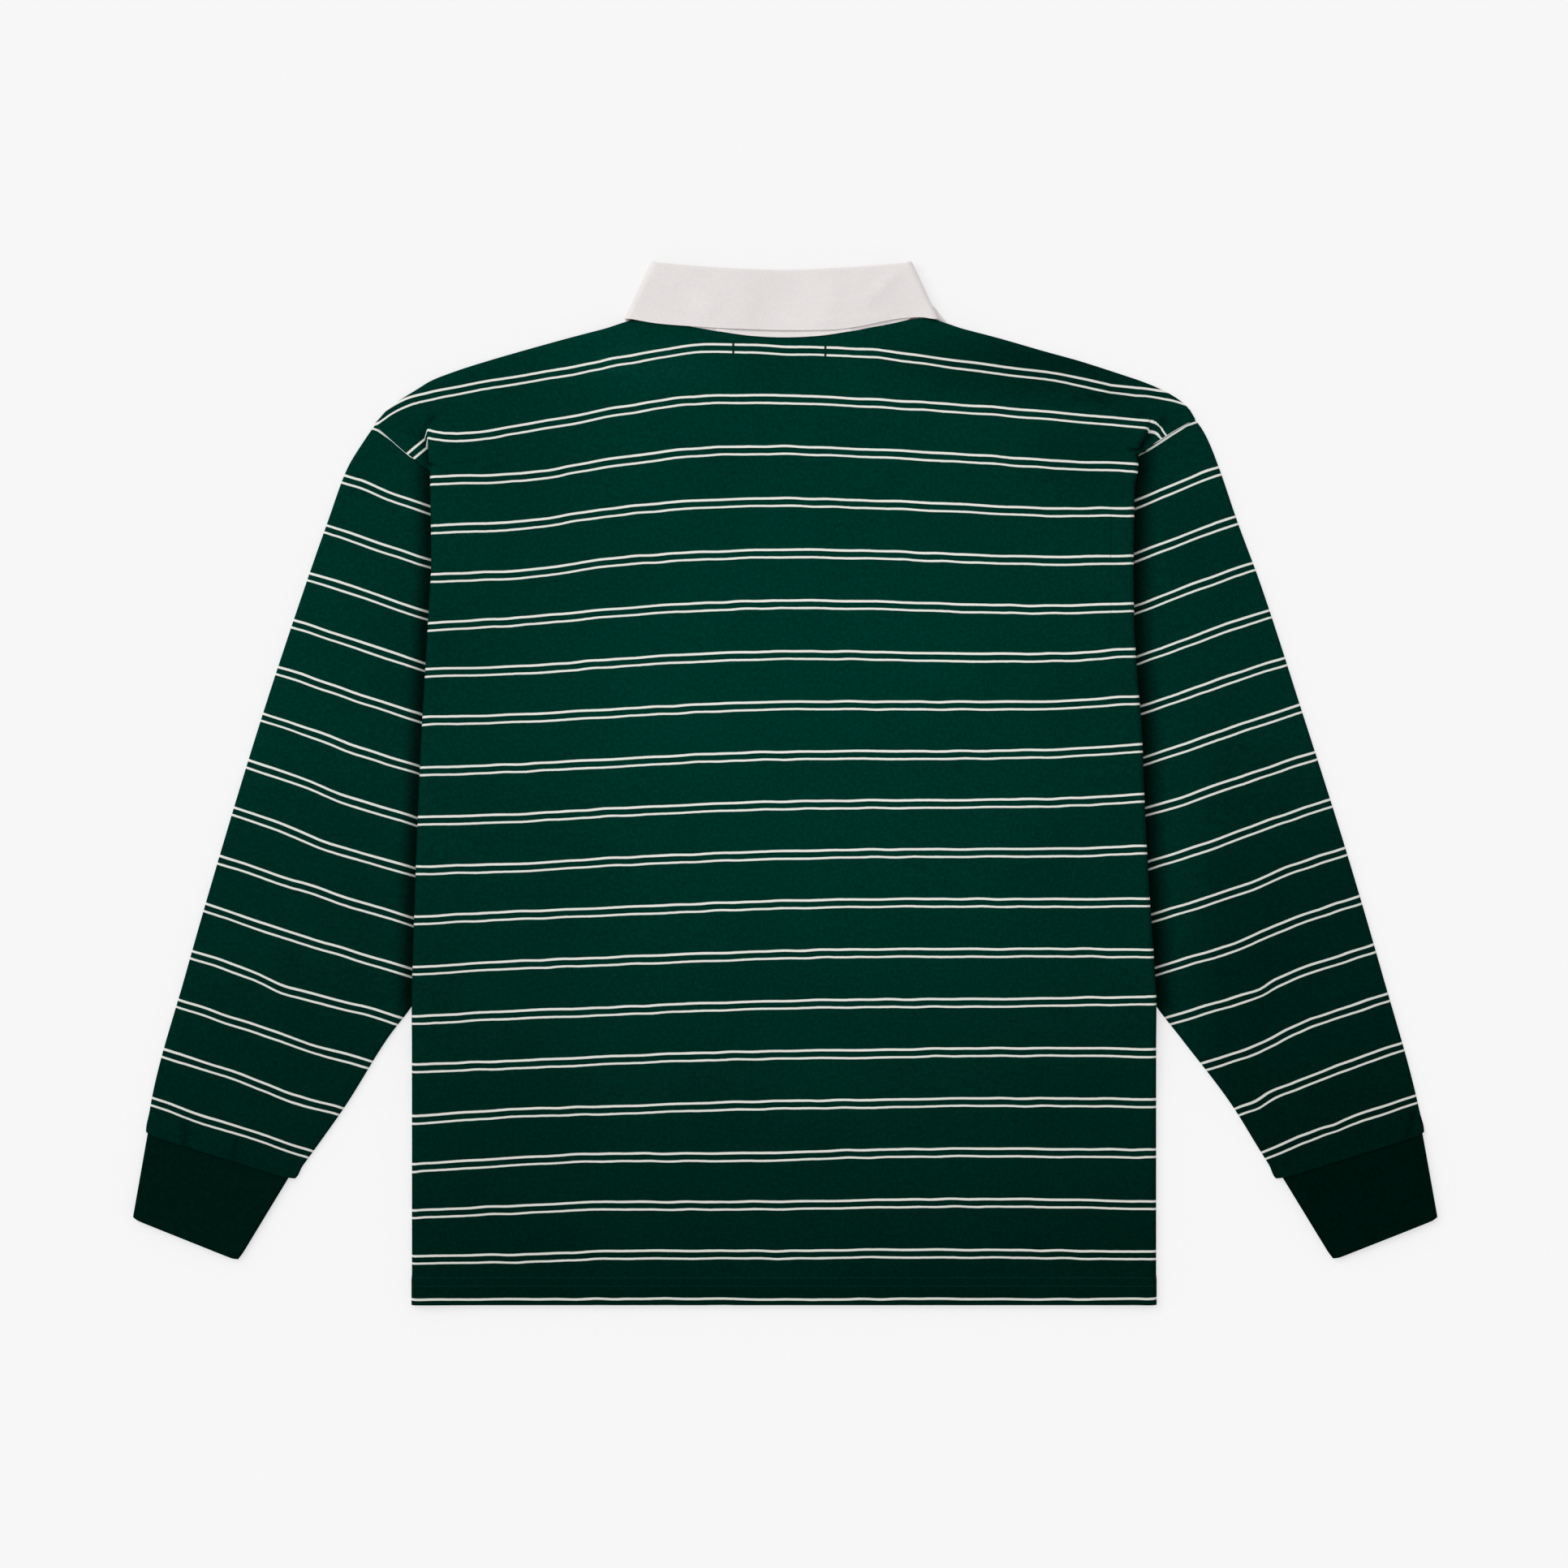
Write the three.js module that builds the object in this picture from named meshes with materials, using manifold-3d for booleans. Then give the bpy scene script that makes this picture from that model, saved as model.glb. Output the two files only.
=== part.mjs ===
// A long-sleeved rugby shirt laid face down and flat, so that its back shows: striped heavy jersey,
// a white drill collar and ribbed cuffs. Millimetres, +Z up from the surface it lies on, +Y towards
// the collar, with the origin under the middle of the laid-out shirt.
import * as THREE from "three";
import { mergeVertices } from "three/addons/utils/BufferGeometryUtils.js";
import Module from "manifold-3d";

const wasm = await Module();
wasm.setup();

// Driving sizes
const HEM_WIDTH = 570;
const HEM_Y = -398.6;
const HEM_DEPTH = 21;
const BODY_CENTRE = -0.9;
const JERSEY = 1.2;
const HEM_PLY = 2.0;
const RIB = 2.0;
const DRILL = 1.4;
const SEAM = 0.3;

// Heights of the cloth's middle surface, layer on layer
const FLOOR_LAYER = JERSEY / 2;
const SLEEVE_TOP = FLOOR_LAYER + JERSEY + SEAM;
const OVER_SLEEVE = 3.9;
const BACK_REST = 3.6;
const SIDE_RISE = 3.6;
const FLOOR_RIM = 0.6;
const SLEEVE_RIM = 3.4;
const SLEEVE_PUFF = 3.2;

// Collar: the middle of the neck tube, and how far the stand and the fall lie from it
const NECK_MIDDLE = 5.2;
const STAND_REACH = 1.9;
const FALL_REACH = 4.5;
const FALL_EDGE_REACH = 3.9;

// Front closure
const PLACKET_WIDTH = 38;
const PLACKET_TOP = 270;
const PLACKET_BOTTOM = 105;
const OPENING_WIDTH = 33;

// Colours
const GREEN = 0x00301f;
const RIB_GREEN = 0x001a12;
const WHITE = 0xe4dfde;

// How far each side of the body is drawn in from the hem's width, from the shoulder down
const SIDE_TUCK = [
  { y: 279.4, left: 9.0, right: 2.0 },
  { y: 271.3, left: 10.5, right: 5.0 },
  { y: 263.9, left: 11.8, right: 8.7 },
  { y: 251.5, left: 13.3, right: 14.6 },
  { y: 226.6, left: 14.2, right: 16.5 },
  { y: 170.8, left: 14.9, right: 17.4 },
  { y: 127.3, left: 12.7, right: 17.1 },
  { y: 83.8, left: 10.2, right: 14.6 },
  { y: 40.4, left: 7.7, right: 11.2 },
  { y: -21.7, left: 4.9, right: 8.7 },
  { y: -83.8, left: 2.5, right: 5.3 },
  { y: -133.5, left: 0.9, right: 1.9 },
  { y: -170.8, left: 0, right: 0 },
  { y: HEM_Y, left: 0, right: 0 },
];

// Shoulder line and back neckline, from the left armhole seam to the right one
const BACK_TOP = [
  { x: -313.9, y: 275.1 },
  { x: -304.6, y: 286.2 },
  { x: -294.6, y: 293.7 },
  { x: -282.8, y: 301.1 },
  { x: -270.4, y: 308.6 },
  { x: -251.2, y: 316.0 },
  { x: -227.6, y: 323.5 },
  { x: -202.1, y: 330.9 },
  { x: -166.1, y: 340.9 },
  { x: -140.0, y: 347.7 },
  { x: -109.0, y: 355.6 },
  { x: -80.0, y: 350.6 },
  { x: -68.0, y: 348.4 },
  { x: -50.0, y: 345.1 },
  { x: -25.0, y: 342.4 },
  { x: -0.9, y: 341.5 },
  { x: 25.0, y: 342.4 },
  { x: 50.0, y: 345.3 },
  { x: 66.0, y: 348.4 },
  { x: 79.0, y: 350.6 },
  { x: 107.5, y: 355.6 },
  { x: 137.5, y: 347.7 },
  { x: 163.6, y: 340.9 },
  { x: 198.4, y: 330.9 },
  { x: 225.1, y: 323.5 },
  { x: 248.7, y: 316.0 },
  { x: 271.0, y: 308.6 },
  { x: 289.0, y: 301.1 },
  { x: 301.5, y: 293.7 },
  { x: 309.5, y: 286.2 },
  { x: 312.9, y: 279.4 },
];
const NECK_SIDE = 108.5;

// Front neckline, half of it, from the neck side to the centre front
const FRONT_NECK = [
  { x: 109.0, y: 355.6 },
  { x: 104.0, y: 338.0 },
  { x: 93.0, y: 318.0 },
  { x: 70.0, y: 296.0 },
  { x: 40.0, y: 279.8 },
  { x: 15.0, y: 273.6 },
  { x: 0.0, y: 272.8 },
];

// Armhole seams, from the shoulder tip to the underarm, and where each one goes under the body
const LEFT_ARMHOLE = [
  { x: -313.9, y: 275.1 },
  { x: -291.5, y: 254.6 },
  { x: -274.8, y: 240.9 },
  { x: -266.5, y: 222.0 },
  { x: -264.0, y: 185.0 },
  { x: -264.0, y: 110.0 },
  { x: -264.0, y: 40.0 },
];
const RIGHT_ARMHOLE = [
  { x: 312.9, y: 279.4 },
  { x: 292.1, y: 267.0 },
  { x: 273.5, y: 252.7 },
  { x: 262.5, y: 228.0 },
  { x: 259.5, y: 185.0 },
  { x: 259.5, y: 110.0 },
  { x: 261.0, y: 40.0 },
];
const LEFT_TUCKS_UNDER = 240.9;
const RIGHT_TUCKS_UNDER = 252.7;
const UNDERARM_Y = 40;
const SLEEVE_LEAVES_Y = -170.8;

// Sleeve edges: the outer one shows all the way, the inner one is hidden as far as SLEEVE_LEAVES_Y
const LEFT_OUTER = [
  { x: -313.9, y: 275.1 },
  { x: -322.6, y: 263.9 },
  { x: -336.2, y: 241.5 },
  { x: -349.9, y: 201.8 },
  { x: -367.3, y: 152.1 },
  { x: -400.2, y: 52.8 },
  { x: -430.6, y: -46.6 },
  { x: -459.2, y: -145.9 },
  { x: -485.9, y: -245.3 },
  { x: -488.6, y: -265.8 },
];
const RIGHT_OUTER = [
  { x: 312.9, y: 279.4 },
  { x: 323.2, y: 263.9 },
  { x: 331.9, y: 241.5 },
  { x: 345.5, y: 201.8 },
  { x: 364.2, y: 152.1 },
  { x: 396.5, y: 52.8 },
  { x: 428.1, y: -46.6 },
  { x: 457.3, y: -145.9 },
  { x: 484.6, y: -245.3 },
  { x: 488.4, y: -265.8 },
];
const LEFT_INNER = [
  { x: -264.0, y: 40.0 },
  { x: -255.0, y: -5.0 },
  { x: -251.0, y: -60.0 },
  { x: -258.0, y: -110.0 },
  { x: -272.0, y: -148.0 },
  { x: -285.9, y: -170.8 },
  { x: -304.6, y: -195.6 },
  { x: -335.6, y: -245.3 },
  { x: -360.0, y: -280.0 },
  { x: -375.5, y: -301.0 },
];
const RIGHT_INNER = [
  { x: 261.0, y: 40.0 },
  { x: 252.0, y: -5.0 },
  { x: 249.0, y: -60.0 },
  { x: 256.0, y: -110.0 },
  { x: 270.0, y: -148.0 },
  { x: 284.1, y: -170.8 },
  { x: 303.3, y: -195.6 },
  { x: 341.2, y: -245.3 },
  { x: 364.0, y: -282.0 },
  { x: 376.0, y: -301.0 },
];

// Cuffs: the corners of each flattened rib tube
const LEFT_CUFF = {
  outerTop: { x: -487.3, y: -266.9 },
  outerEnd: { x: -498.3, y: -332.2 },
  innerTop: { x: -379.8, y: -301.4 },
  innerEnd: { x: -418.2, y: -364.5 },
};
const RIGHT_CUFF = {
  outerTop: { x: 487.1, y: -266.9 },
  outerEnd: { x: 498.3, y: -332.2 },
  innerTop: { x: 380.3, y: -301.1 },
  innerEnd: { x: 418.8, y: -363.9 },
};

// Collar: half outlines. The fold is its top edge, the fall ends at its free edge.
const COLLAR = {
  foldSide: { x: 94.7, y: 396.4 },
  foldCentreY: 391.7,
  edgeSide: { x: 114.4, y: 354.8 },
  edgeCentreY: 345.2,
  neckSide: { x: 110.0, y: 361.5 },
};
const FRONT_FOLD = [
  { x: 94.7, y: 396.4 },
  { x: 79.0, y: 350.0 },
  { x: 50.0, y: 315.0 },
  { x: 20.0, y: 298.0 },
  { x: 2.0, y: 293.5 },
];
const FRONT_EDGE = [
  { x: 114.4, y: 354.8 },
  { x: 110.0, y: 322.0 },
  { x: 97.0, y: 290.0 },
  { x: 80.0, y: 262.0 },
  { x: 60.0, y: 238.0 },
];

// Soft folds that lie on the cloth, from one end to the other, with their half width and height
const BODY_FOLDS = [
  { x: -215, y: 238, toX: -140, toY: 165, wide: 20, high: 0.9 },
  { x: -235, y: 130, toX: -160, toY: 80, wide: 18, high: 0.8 },
  { x: -225, y: -60, toX: -175, toY: -250, wide: 26, high: 0.8 },
  { x: 170, y: 262, toX: 262, toY: 252, wide: 12, high: 0.9 },
  { x: 120, y: 190, toX: 200, toY: 60, wide: 30, high: 0.7 },
  { x: 60, y: -120, toX: 215, toY: -210, wide: 32, high: 0.8 },
  { x: -60, y: 40, toX: 20, toY: -160, wide: 40, high: 0.7 },
];
const SLEEVE_FOLDS = [
  { x: -353, y: -2, toX: -334, toY: -92, wide: 9, high: 1.3 },
  { x: -391, y: -118, toX: -381, toY: -208, wide: 10, high: 1.2 },
  { x: 368, y: -58, toX: 350, toY: -250, wide: 10, high: 1.3 },
  { x: 396, y: -160, toX: 416, toY: -232, wide: 9, high: 0.9 },
];

// A smooth value through a table's rows, with no overshoot between them
function through(rows, at, of) {
  const table = [...rows].sort((a, b) => a[at] - b[at]);
  const place = table.map((row) => row[at]);
  const value = table.map((row) => row[of]);
  const rise = place.slice(1).map((p, k) => (value[k + 1] - value[k]) / (p - place[k]));
  const slope = place.map((p, k) => {
    const before = rise[Math.max(k - 1, 0)];
    const after = rise[Math.min(k, rise.length - 1)];
    return before * after <= 0 ? 0 : (2 * before * after) / (before + after);
  });
  return (p) => {
    let k = 0;
    while (k < place.length - 2 && p > place[k + 1]) k++;
    const step = place[k + 1] - place[k];
    const t = THREE.MathUtils.clamp((p - place[k]) / step, 0, 1);
    const blend = t * t * (3 - 2 * t);
    const lift = t * (1 - t) * step * (slope[k] * (1 - t) - slope[k + 1] * t);
    return value[k] * (1 - blend) + value[k + 1] * blend + lift;
  };
}

const smooth = (from, to, x) => THREE.MathUtils.smoothstep(x, from, to);
const mix = (a, b, t) => a + (b - a) * t;
const mixPoint = (a, b, t) => ({ x: mix(a.x, b.x, t), y: mix(a.y, b.y, t) });
const mirrored = (rows) => rows.map(({ x, y }) => ({ x: -x, y }));

// A plan curve through points: at(t) gives the point at that share of its length
function curve(points) {
  const path = new THREE.CatmullRomCurve3(points.map(({ x, y }) => new THREE.Vector3(x, y, 0)));
  path.arcLengthDivisions = 400;
  return (t) => path.getPointAt(THREE.MathUtils.clamp(t, 0, 1));
}

// How far a place lies from a straight line between two others
function gapToLine(x, y, a, b) {
  const length2 = (b.x - a.x) ** 2 + (b.y - a.y) ** 2;
  const share = ((x - a.x) * (b.x - a.x) + (y - a.y) * (b.y - a.y)) / length2;
  const t = THREE.MathUtils.clamp(share, 0, 1);
  return Math.hypot(x - mix(a.x, b.x, t), y - mix(a.y, b.y, t));
}

// How far a place lies outside a plan outline, 0 inside it
function gapTo(outline, x, y) {
  let inside = false;
  let gap = Infinity;
  outline.forEach((a, k) => {
    const b = outline[(k + 1) % outline.length];
    gap = Math.min(gap, gapToLine(x, y, a, b));
    const crosses = a.y > y !== b.y > y && x < ((b.x - a.x) * (y - a.y)) / (b.y - a.y) + a.x;
    if (crosses) inside = !inside;
  });
  return inside ? 0 : gap;
}

// The height that soft folds add at a place
function foldHeight(folds, x, y) {
  return folds.reduce((sum, fold) => {
    const gap = gapToLine(x, y, fold, { x: fold.toX, y: fold.toY });
    return sum + fold.high * Math.exp(-((gap / fold.wide) ** 2));
  }, 0);
}

const tuckLeft = through(SIDE_TUCK, "y", "left");
const tuckRight = through(SIDE_TUCK, "y", "right");
const sideLeft = (y) => BODY_CENTRE - HEM_WIDTH / 2 + tuckLeft(y);
const sideRight = (y) => BODY_CENTRE + HEM_WIDTH / 2 - tuckRight(y);
const backTop = through(BACK_TOP, "x", "y");
const neckRows = [...FRONT_NECK, ...mirrored(FRONT_NECK.slice(0, -1))];
const frontNeck = through(neckRows, "x", "y");

const SIDES = {
  left: {
    way: -1,
    edge: sideLeft,
    armhole: curve(LEFT_ARMHOLE),
    tucksUnder: LEFT_TUCKS_UNDER,
    outer: curve(LEFT_OUTER),
    inner: curve(LEFT_INNER),
    hidden: LEFT_INNER.slice(0, 6),
    cuff: LEFT_CUFF,
    tip: LEFT_ARMHOLE[0],
  },
  right: {
    way: 1,
    edge: sideRight,
    armhole: curve(RIGHT_ARMHOLE),
    tucksUnder: RIGHT_TUCKS_UNDER,
    outer: curve(RIGHT_OUTER),
    inner: curve(RIGHT_INNER),
    hidden: RIGHT_INNER.slice(0, 6),
    cuff: RIGHT_CUFF,
    tip: RIGHT_ARMHOLE[0],
  },
};

// The share of a falling plan curve's length at which it reaches a height
function shareAt(line, y) {
  let low = 0;
  let high = 1;
  for (let k = 0; k < 40; k++) {
    const middle = (low + high) / 2;
    if (line(middle).y > y) low = middle;
    else high = middle;
  }
  return low;
}

const armholeShare = (side, y) => shareAt(side.armhole, y);
const shareOfInner = (side) => shareAt(side.inner, SLEEVE_LEAVES_Y);

// The stretch of sleeve that lies under the body, as a plan outline
function underBody(side) {
  const outside = side.way * 300;
  const last = shareOfInner(side);
  const curved = Array.from({ length: 16 }, (_, k) => side.inner((k / 15) * last));
  return [...curved, { x: outside, y: SLEEVE_LEAVES_Y }, { x: outside, y: UNDERARM_Y }];
}

const UNDER_BODY = [underBody(SIDES.left), underBody(SIDES.right)];
const LEAVES = [mirrored, (rows) => rows].map((turned) =>
  turned([...FRONT_EDGE, ...[...FRONT_FOLD].reverse()]),
);
const PLACKET_OUTLINE = [
  { x: BODY_CENTRE - PLACKET_WIDTH / 2, y: PLACKET_TOP },
  { x: BODY_CENTRE + PLACKET_WIDTH / 2, y: PLACKET_TOP },
  { x: BODY_CENTRE + PLACKET_WIDTH / 2, y: PLACKET_BOTTOM },
  { x: BODY_CENTRE - PLACKET_WIDTH / 2, y: PLACKET_BOTTOM },
];
const NECK_HOLE = BACK_TOP.slice(10, 21);

// Height of the front panel: on the floor, but over the tucked sleeves, the collar and the placket
function frontHeight(x, y) {
  const beside = (outlines, near, far) =>
    1 - smooth(near, far, Math.min(...outlines.map((outline) => gapTo(outline, x, y))));
  const overSleeve = (OVER_SLEEVE - FLOOR_LAYER) * beside(UNDER_BODY, 2, 20);
  const overCollar = (NECK_MIDDLE - STAND_REACH - FLOOR_LAYER) * beside(LEAVES, 9, 34);
  const overPlacket = (JERSEY + 1.5 * SEAM) * beside([PLACKET_OUTLINE], 4, 14);
  return FLOOR_LAYER + Math.max(overSleeve, overCollar, overPlacket);
}

// Height of the back panel's upper layer, without its rolled edges
function backHeight(x, y) {
  const rises = [SIDES.left, SIDES.right].map((side) => {
    const inFromEdge = side.way * (side.edge(y) - x);
    const belowTip = 1 - smooth(side.tucksUnder - 6, side.tip.y + 4, y);
    const held = mix(0.3, 1, smooth(-260, -180, y));
    return inFromEdge < 0 ? 0 : belowTip * held * (1 - smooth(0, 70, inFromEdge));
  });
  const neck = 1 - smooth(0, 80, gapTo(NECK_HOLE, x, y));
  const neckRise = (NECK_MIDDLE + STAND_REACH - BACK_REST) * neck;
  const folds = foldHeight(BODY_FOLDS, x, y);
  const own = BACK_REST + Math.max(SIDE_RISE * Math.max(...rises), neckRise) + folds;
  return Math.max(own, frontHeight(x, y) + JERSEY + 4 * SEAM);
}

// Height of the small piece of shoulder that shows beside the tucked side, down to the armhole seam
function capHeight(side, x, y) {
  let gap = Infinity;
  for (let k = 0; k < 12; k++) {
    const seam = side.armhole((k / 11) * armholeShare(side, side.tucksUnder));
    gap = Math.min(gap, Math.hypot(x - seam.x, y - seam.y));
  }
  return mix(SLEEVE_TOP, BACK_REST, smooth(0, 26, gap));
}

// A closed wall of cloth on a grid of points: its two faces and its rims
function clothWall(grid, thickness, ring = false) {
  const rows = grid.length;
  const columns = grid[0].length;
  const last = ring ? columns : columns - 1;
  const flat = grid.flat();
  const normals = flat.map(() => new THREE.Vector3());
  const at = (i, j) => i * columns + (j % columns);
  const faces = [];
  for (let i = 0; i < rows - 1; i++) {
    for (let j = 0; j < last; j++) {
      const [a, b, c, d] = [at(i, j), at(i, j + 1), at(i + 1, j + 1), at(i + 1, j)];
      if (j < last / 2) faces.push([a, d, c], [a, c, b]);
      else faces.push([a, d, b], [b, d, c]);
    }
  }
  for (const [p, q, r] of faces) {
    const one = flat[q].clone().sub(flat[p]);
    const two = flat[r].clone().sub(flat[p]);
    const normal = one.cross(two);
    for (const k of [p, q, r]) normals[k].add(normal);
  }
  const total = flat.length;
  const position = new Float32Array(total * 6);
  flat.forEach((point, k) => {
    const half = (typeof thickness === "function" ? thickness(point) : thickness) / 2;
    const offset = normals[k].normalize().multiplyScalar(half);
    point.clone().add(offset).toArray(position, k * 3);
    point.clone().sub(offset).toArray(position, (total + k) * 3);
  });
  const index = [];
  for (const [p, q, r] of faces) index.push(p, q, r, total + p, total + r, total + q);
  const rim = (p, q) => index.push(p, total + p, total + q, p, total + q, q);
  for (let j = 0; j < last; j++) {
    rim(at(0, j + 1), at(0, j));
    rim(at(rows - 1, j), at(rows - 1, j + 1));
  }
  if (!ring) {
    for (let i = 0; i < rows - 1; i++) {
      rim(at(i, 0), at(i + 1, 0));
      rim(at(i + 1, last), at(i, last));
    }
  }
  const geometry = new THREE.BufferGeometry();
  geometry.setAttribute("position", new THREE.BufferAttribute(position, 3));
  geometry.setIndex(index);
  return facingOut(geometry);
}

// The same geometry with its faces turned to point out of the solid
function facingOut(geometry) {
  const position = geometry.getAttribute("position");
  const index = geometry.index.array;
  const [a, b, c] = [new THREE.Vector3(), new THREE.Vector3(), new THREE.Vector3()];
  let volume = 0;
  for (let k = 0; k < index.length; k += 3) {
    a.fromBufferAttribute(position, index[k]);
    b.fromBufferAttribute(position, index[k + 1]);
    c.fromBufferAttribute(position, index[k + 2]);
    volume += a.dot(b.cross(c)) / 6;
  }
  if (volume < 0) {
    for (let k = 0; k < index.length; k += 3) {
      [index[k + 1], index[k + 2]] = [index[k + 2], index[k + 1]];
    }
  }
  return geometry;
}

// A body panel's row: a curve from a left start to a right start, humped like the panel's top edge
function rowLine(top, left, right, hump) {
  return (x) => {
    const u = THREE.MathUtils.clamp((x - left.x) / (right.x - left.x), 0, 1);
    const shape = top(x) - mix(top(left.x), top(right.x), u);
    return mix(left.y, right.y, u) + hump * shape;
  };
}

const humpAt = (y) => smooth(-150, 240, y);

// Places across the body where every row has a point, left of the centre and right of it
const BODY_COLUMNS = [246, 214, 180, 148, 122, 109, 92, 68, 42, 14];
const columnsAcross = [
  ...BODY_COLUMNS.map((x) => BODY_CENTRE - x),
  ...[...BODY_COLUMNS].reverse().map((x) => BODY_CENTRE + x),
];

// The back panel: rolled at its shoulder line and its sides, stepped up where the side is tucked
const BACK_ROWS = [0, 1, 3.6, 12, 23, 34.2, 46, 68];
const BACK_ROWS_BELOW = [165, 125, 85, 45, 0, -45, -90, -135, -166, -184, -204];
const BACK_ROWS_HEM = [-245, -295, -345, HEM_Y + HEM_DEPTH + 2, HEM_Y + HEM_DEPTH, HEM_Y];
const ROLL = 3.6;

// Where a row starts on one side: on the armhole seam, then on the tucked side
function backStart(side, down) {
  const y = side.tip.y - down * ((side.tip.y - side.tucksUnder) / 34.2);
  if (down <= 34.2) {
    const seam = side.armhole(armholeShare(side, y));
    return { x: seam.x, y: seam.y, onSeam: true };
  }
  return { x: side.edge(y), y, onSeam: false };
}

function backPanel() {
  const levels = [
    ...BACK_ROWS.map((down) => ({ down })),
    ...[...BACK_ROWS_BELOW, ...BACK_ROWS_HEM].map((y) => ({ y })),
  ];
  const grid = levels.map((level) => {
    const startOf = (side) =>
      level.y === undefined
        ? backStart(side, level.down)
        : { x: side.edge(level.y), y: level.y, onSeam: false };
    const left = startOf(SIDES.left);
    const right = startOf(SIDES.right);
    const hump = level.y === undefined ? 1 : humpAt(level.y + 75);
    const line = rowLine(backTop, left, right, hump);
    const fromTop = level.y === undefined ? level.down : 999;
    const middle = columnsAcross.map((x) => backPoint(x, line(x), fromTop));
    return [
      ...backSide(SIDES.left, left, line, fromTop),
      ...middle,
      ...backSide(SIDES.right, right, line, fromTop).reverse(),
    ];
  });
  return clothWall(grid, (point) => (point.y < HEM_Y + HEM_DEPTH + 1 ? HEM_PLY : JERSEY));
}

// A point of the upper layer, let down to the floor where it nears the shoulder line
function backPoint(x, y, fromTop) {
  const height = backHeight(x, y);
  const offNeck = smooth(0, 14, Math.abs(x - BODY_CENTRE) - NECK_SIDE);
  const reach = Math.min(fromTop / ROLL, 1);
  const rolled = mix(FLOOR_RIM, height, Math.sqrt(1 - (1 - reach) ** 2));
  const inward = 0.6 * (1 - reach) * offNeck;
  return new THREE.Vector3(x, y - inward, mix(height, rolled, offNeck));
}

// The six points at one side of a row: a rolled edge, or the shoulder piece and the step up from it
function backSide(side, start, line, fromTop) {
  const inward = -side.way;
  if (!start.onSeam) {
    return [0, 1, 2, 3, 4, 5].map((k) => {
      const angle = (k / 5) * (Math.PI / 2);
      const x = start.x + inward * (JERSEY / 2 + ROLL * (1 - Math.cos(angle)));
      const top = backHeight(start.x + inward * ROLL, start.y);
      const overSleeve = smooth(-200, -176, start.y);
      const rim = mix(FLOOR_RIM, SLEEVE_RIM, overSleeve);
      return new THREE.Vector3(x, line(x), mix(rim, top, Math.sin(angle)));
    });
  }
  const crease = side.edge(start.y);
  const room = Math.abs(crease - start.x);
  const outside = [0, 0.36, 0.72].map((share) => start.x + inward * (0.15 + share * room));
  const across = [-0.7, 0.8, 3.4].map((offset) => crease + inward * offset);
  const narrow = (k) => start.x + inward * (0.15 + k * 0.9);
  const places = [...outside, ...across].map((x, k) => (room < 4 ? narrow(k) : x));
  return places.map((x, k) => {
    const y = k === 0 ? start.y + 0.1 : line(x);
    const low = capHeight(side, x, y);
    const high = backHeight(crease + inward * 3.4, y);
    const share = [0, 0, 0, 0.1, 0.75, 1][k];
    const height = mix(low, Math.max(high, low), room < 4 ? k / 5 : share);
    const reach = Math.min(fromTop / ROLL, 1);
    const rolled = mix(FLOOR_RIM, height, Math.sqrt(1 - (1 - reach) ** 2));
    return new THREE.Vector3(x, y - 0.6 * (1 - reach), rolled);
  });
}

// The front panel: flat on the floor, with the neckline cut lower and room for the placket
const FRONT_LEVELS = [
  262, 250, 236, 220, 190, 150, 116, 101, 88, 72, 58, 46, 36, 24, 10, -20, -60, -100, -135, -156,
  -170, -182, -200, -245, -295, -345, HEM_Y + HEM_DEPTH + 2, HEM_Y + HEM_DEPTH, HEM_Y,
];
const FRONT_INSET = JERSEY + 3 * SEAM;
const SHOULDER_INSET = 3;
const NECK_SEAM = 0.5;
const BACK_OUT_Y = 8;

// Where the front panel ends at one side: on the armhole seam, then just inside the back's edge
function frontEdgeAt(side, y) {
  const inward = -side.way;
  const seam = side.armhole(armholeShare(side, Math.max(y, UNDERARM_Y)));
  const atHem = y < HEM_Y + HEM_DEPTH + 1 ? HEM_PLY - JERSEY : 0;
  const below = side.edge(y) + inward * (FRONT_INSET + atHem);
  const back = smooth(BACK_OUT_Y, UNDERARM_Y, y);
  const clear = SEAM + 1.5 * (1 - smooth(60, 95, y));
  return mix(below, seam.x + inward * clear, back);
}

// The columns beside each edge follow the hidden edge of the sleeve that lies below
function frontGuide(side, y) {
  const inward = -side.way;
  const edge = frontEdgeAt(side, y);
  const inside = y < UNDERARM_Y && y > SLEEVE_LEAVES_Y;
  let deepest = Math.abs(edge) - 5;
  if (inside) {
    deepest = Math.min(deepest, Math.abs(side.inner(shareAt(side.inner, y)).x));
  }
  return [0, 0.5, 1]
    .map((share) => edge + inward * share * (Math.abs(edge) - deepest + 2.5))
    .concat([6, 11, 16, 21].map((step) => side.way * (deepest - 2.5 - step)));
}

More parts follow.
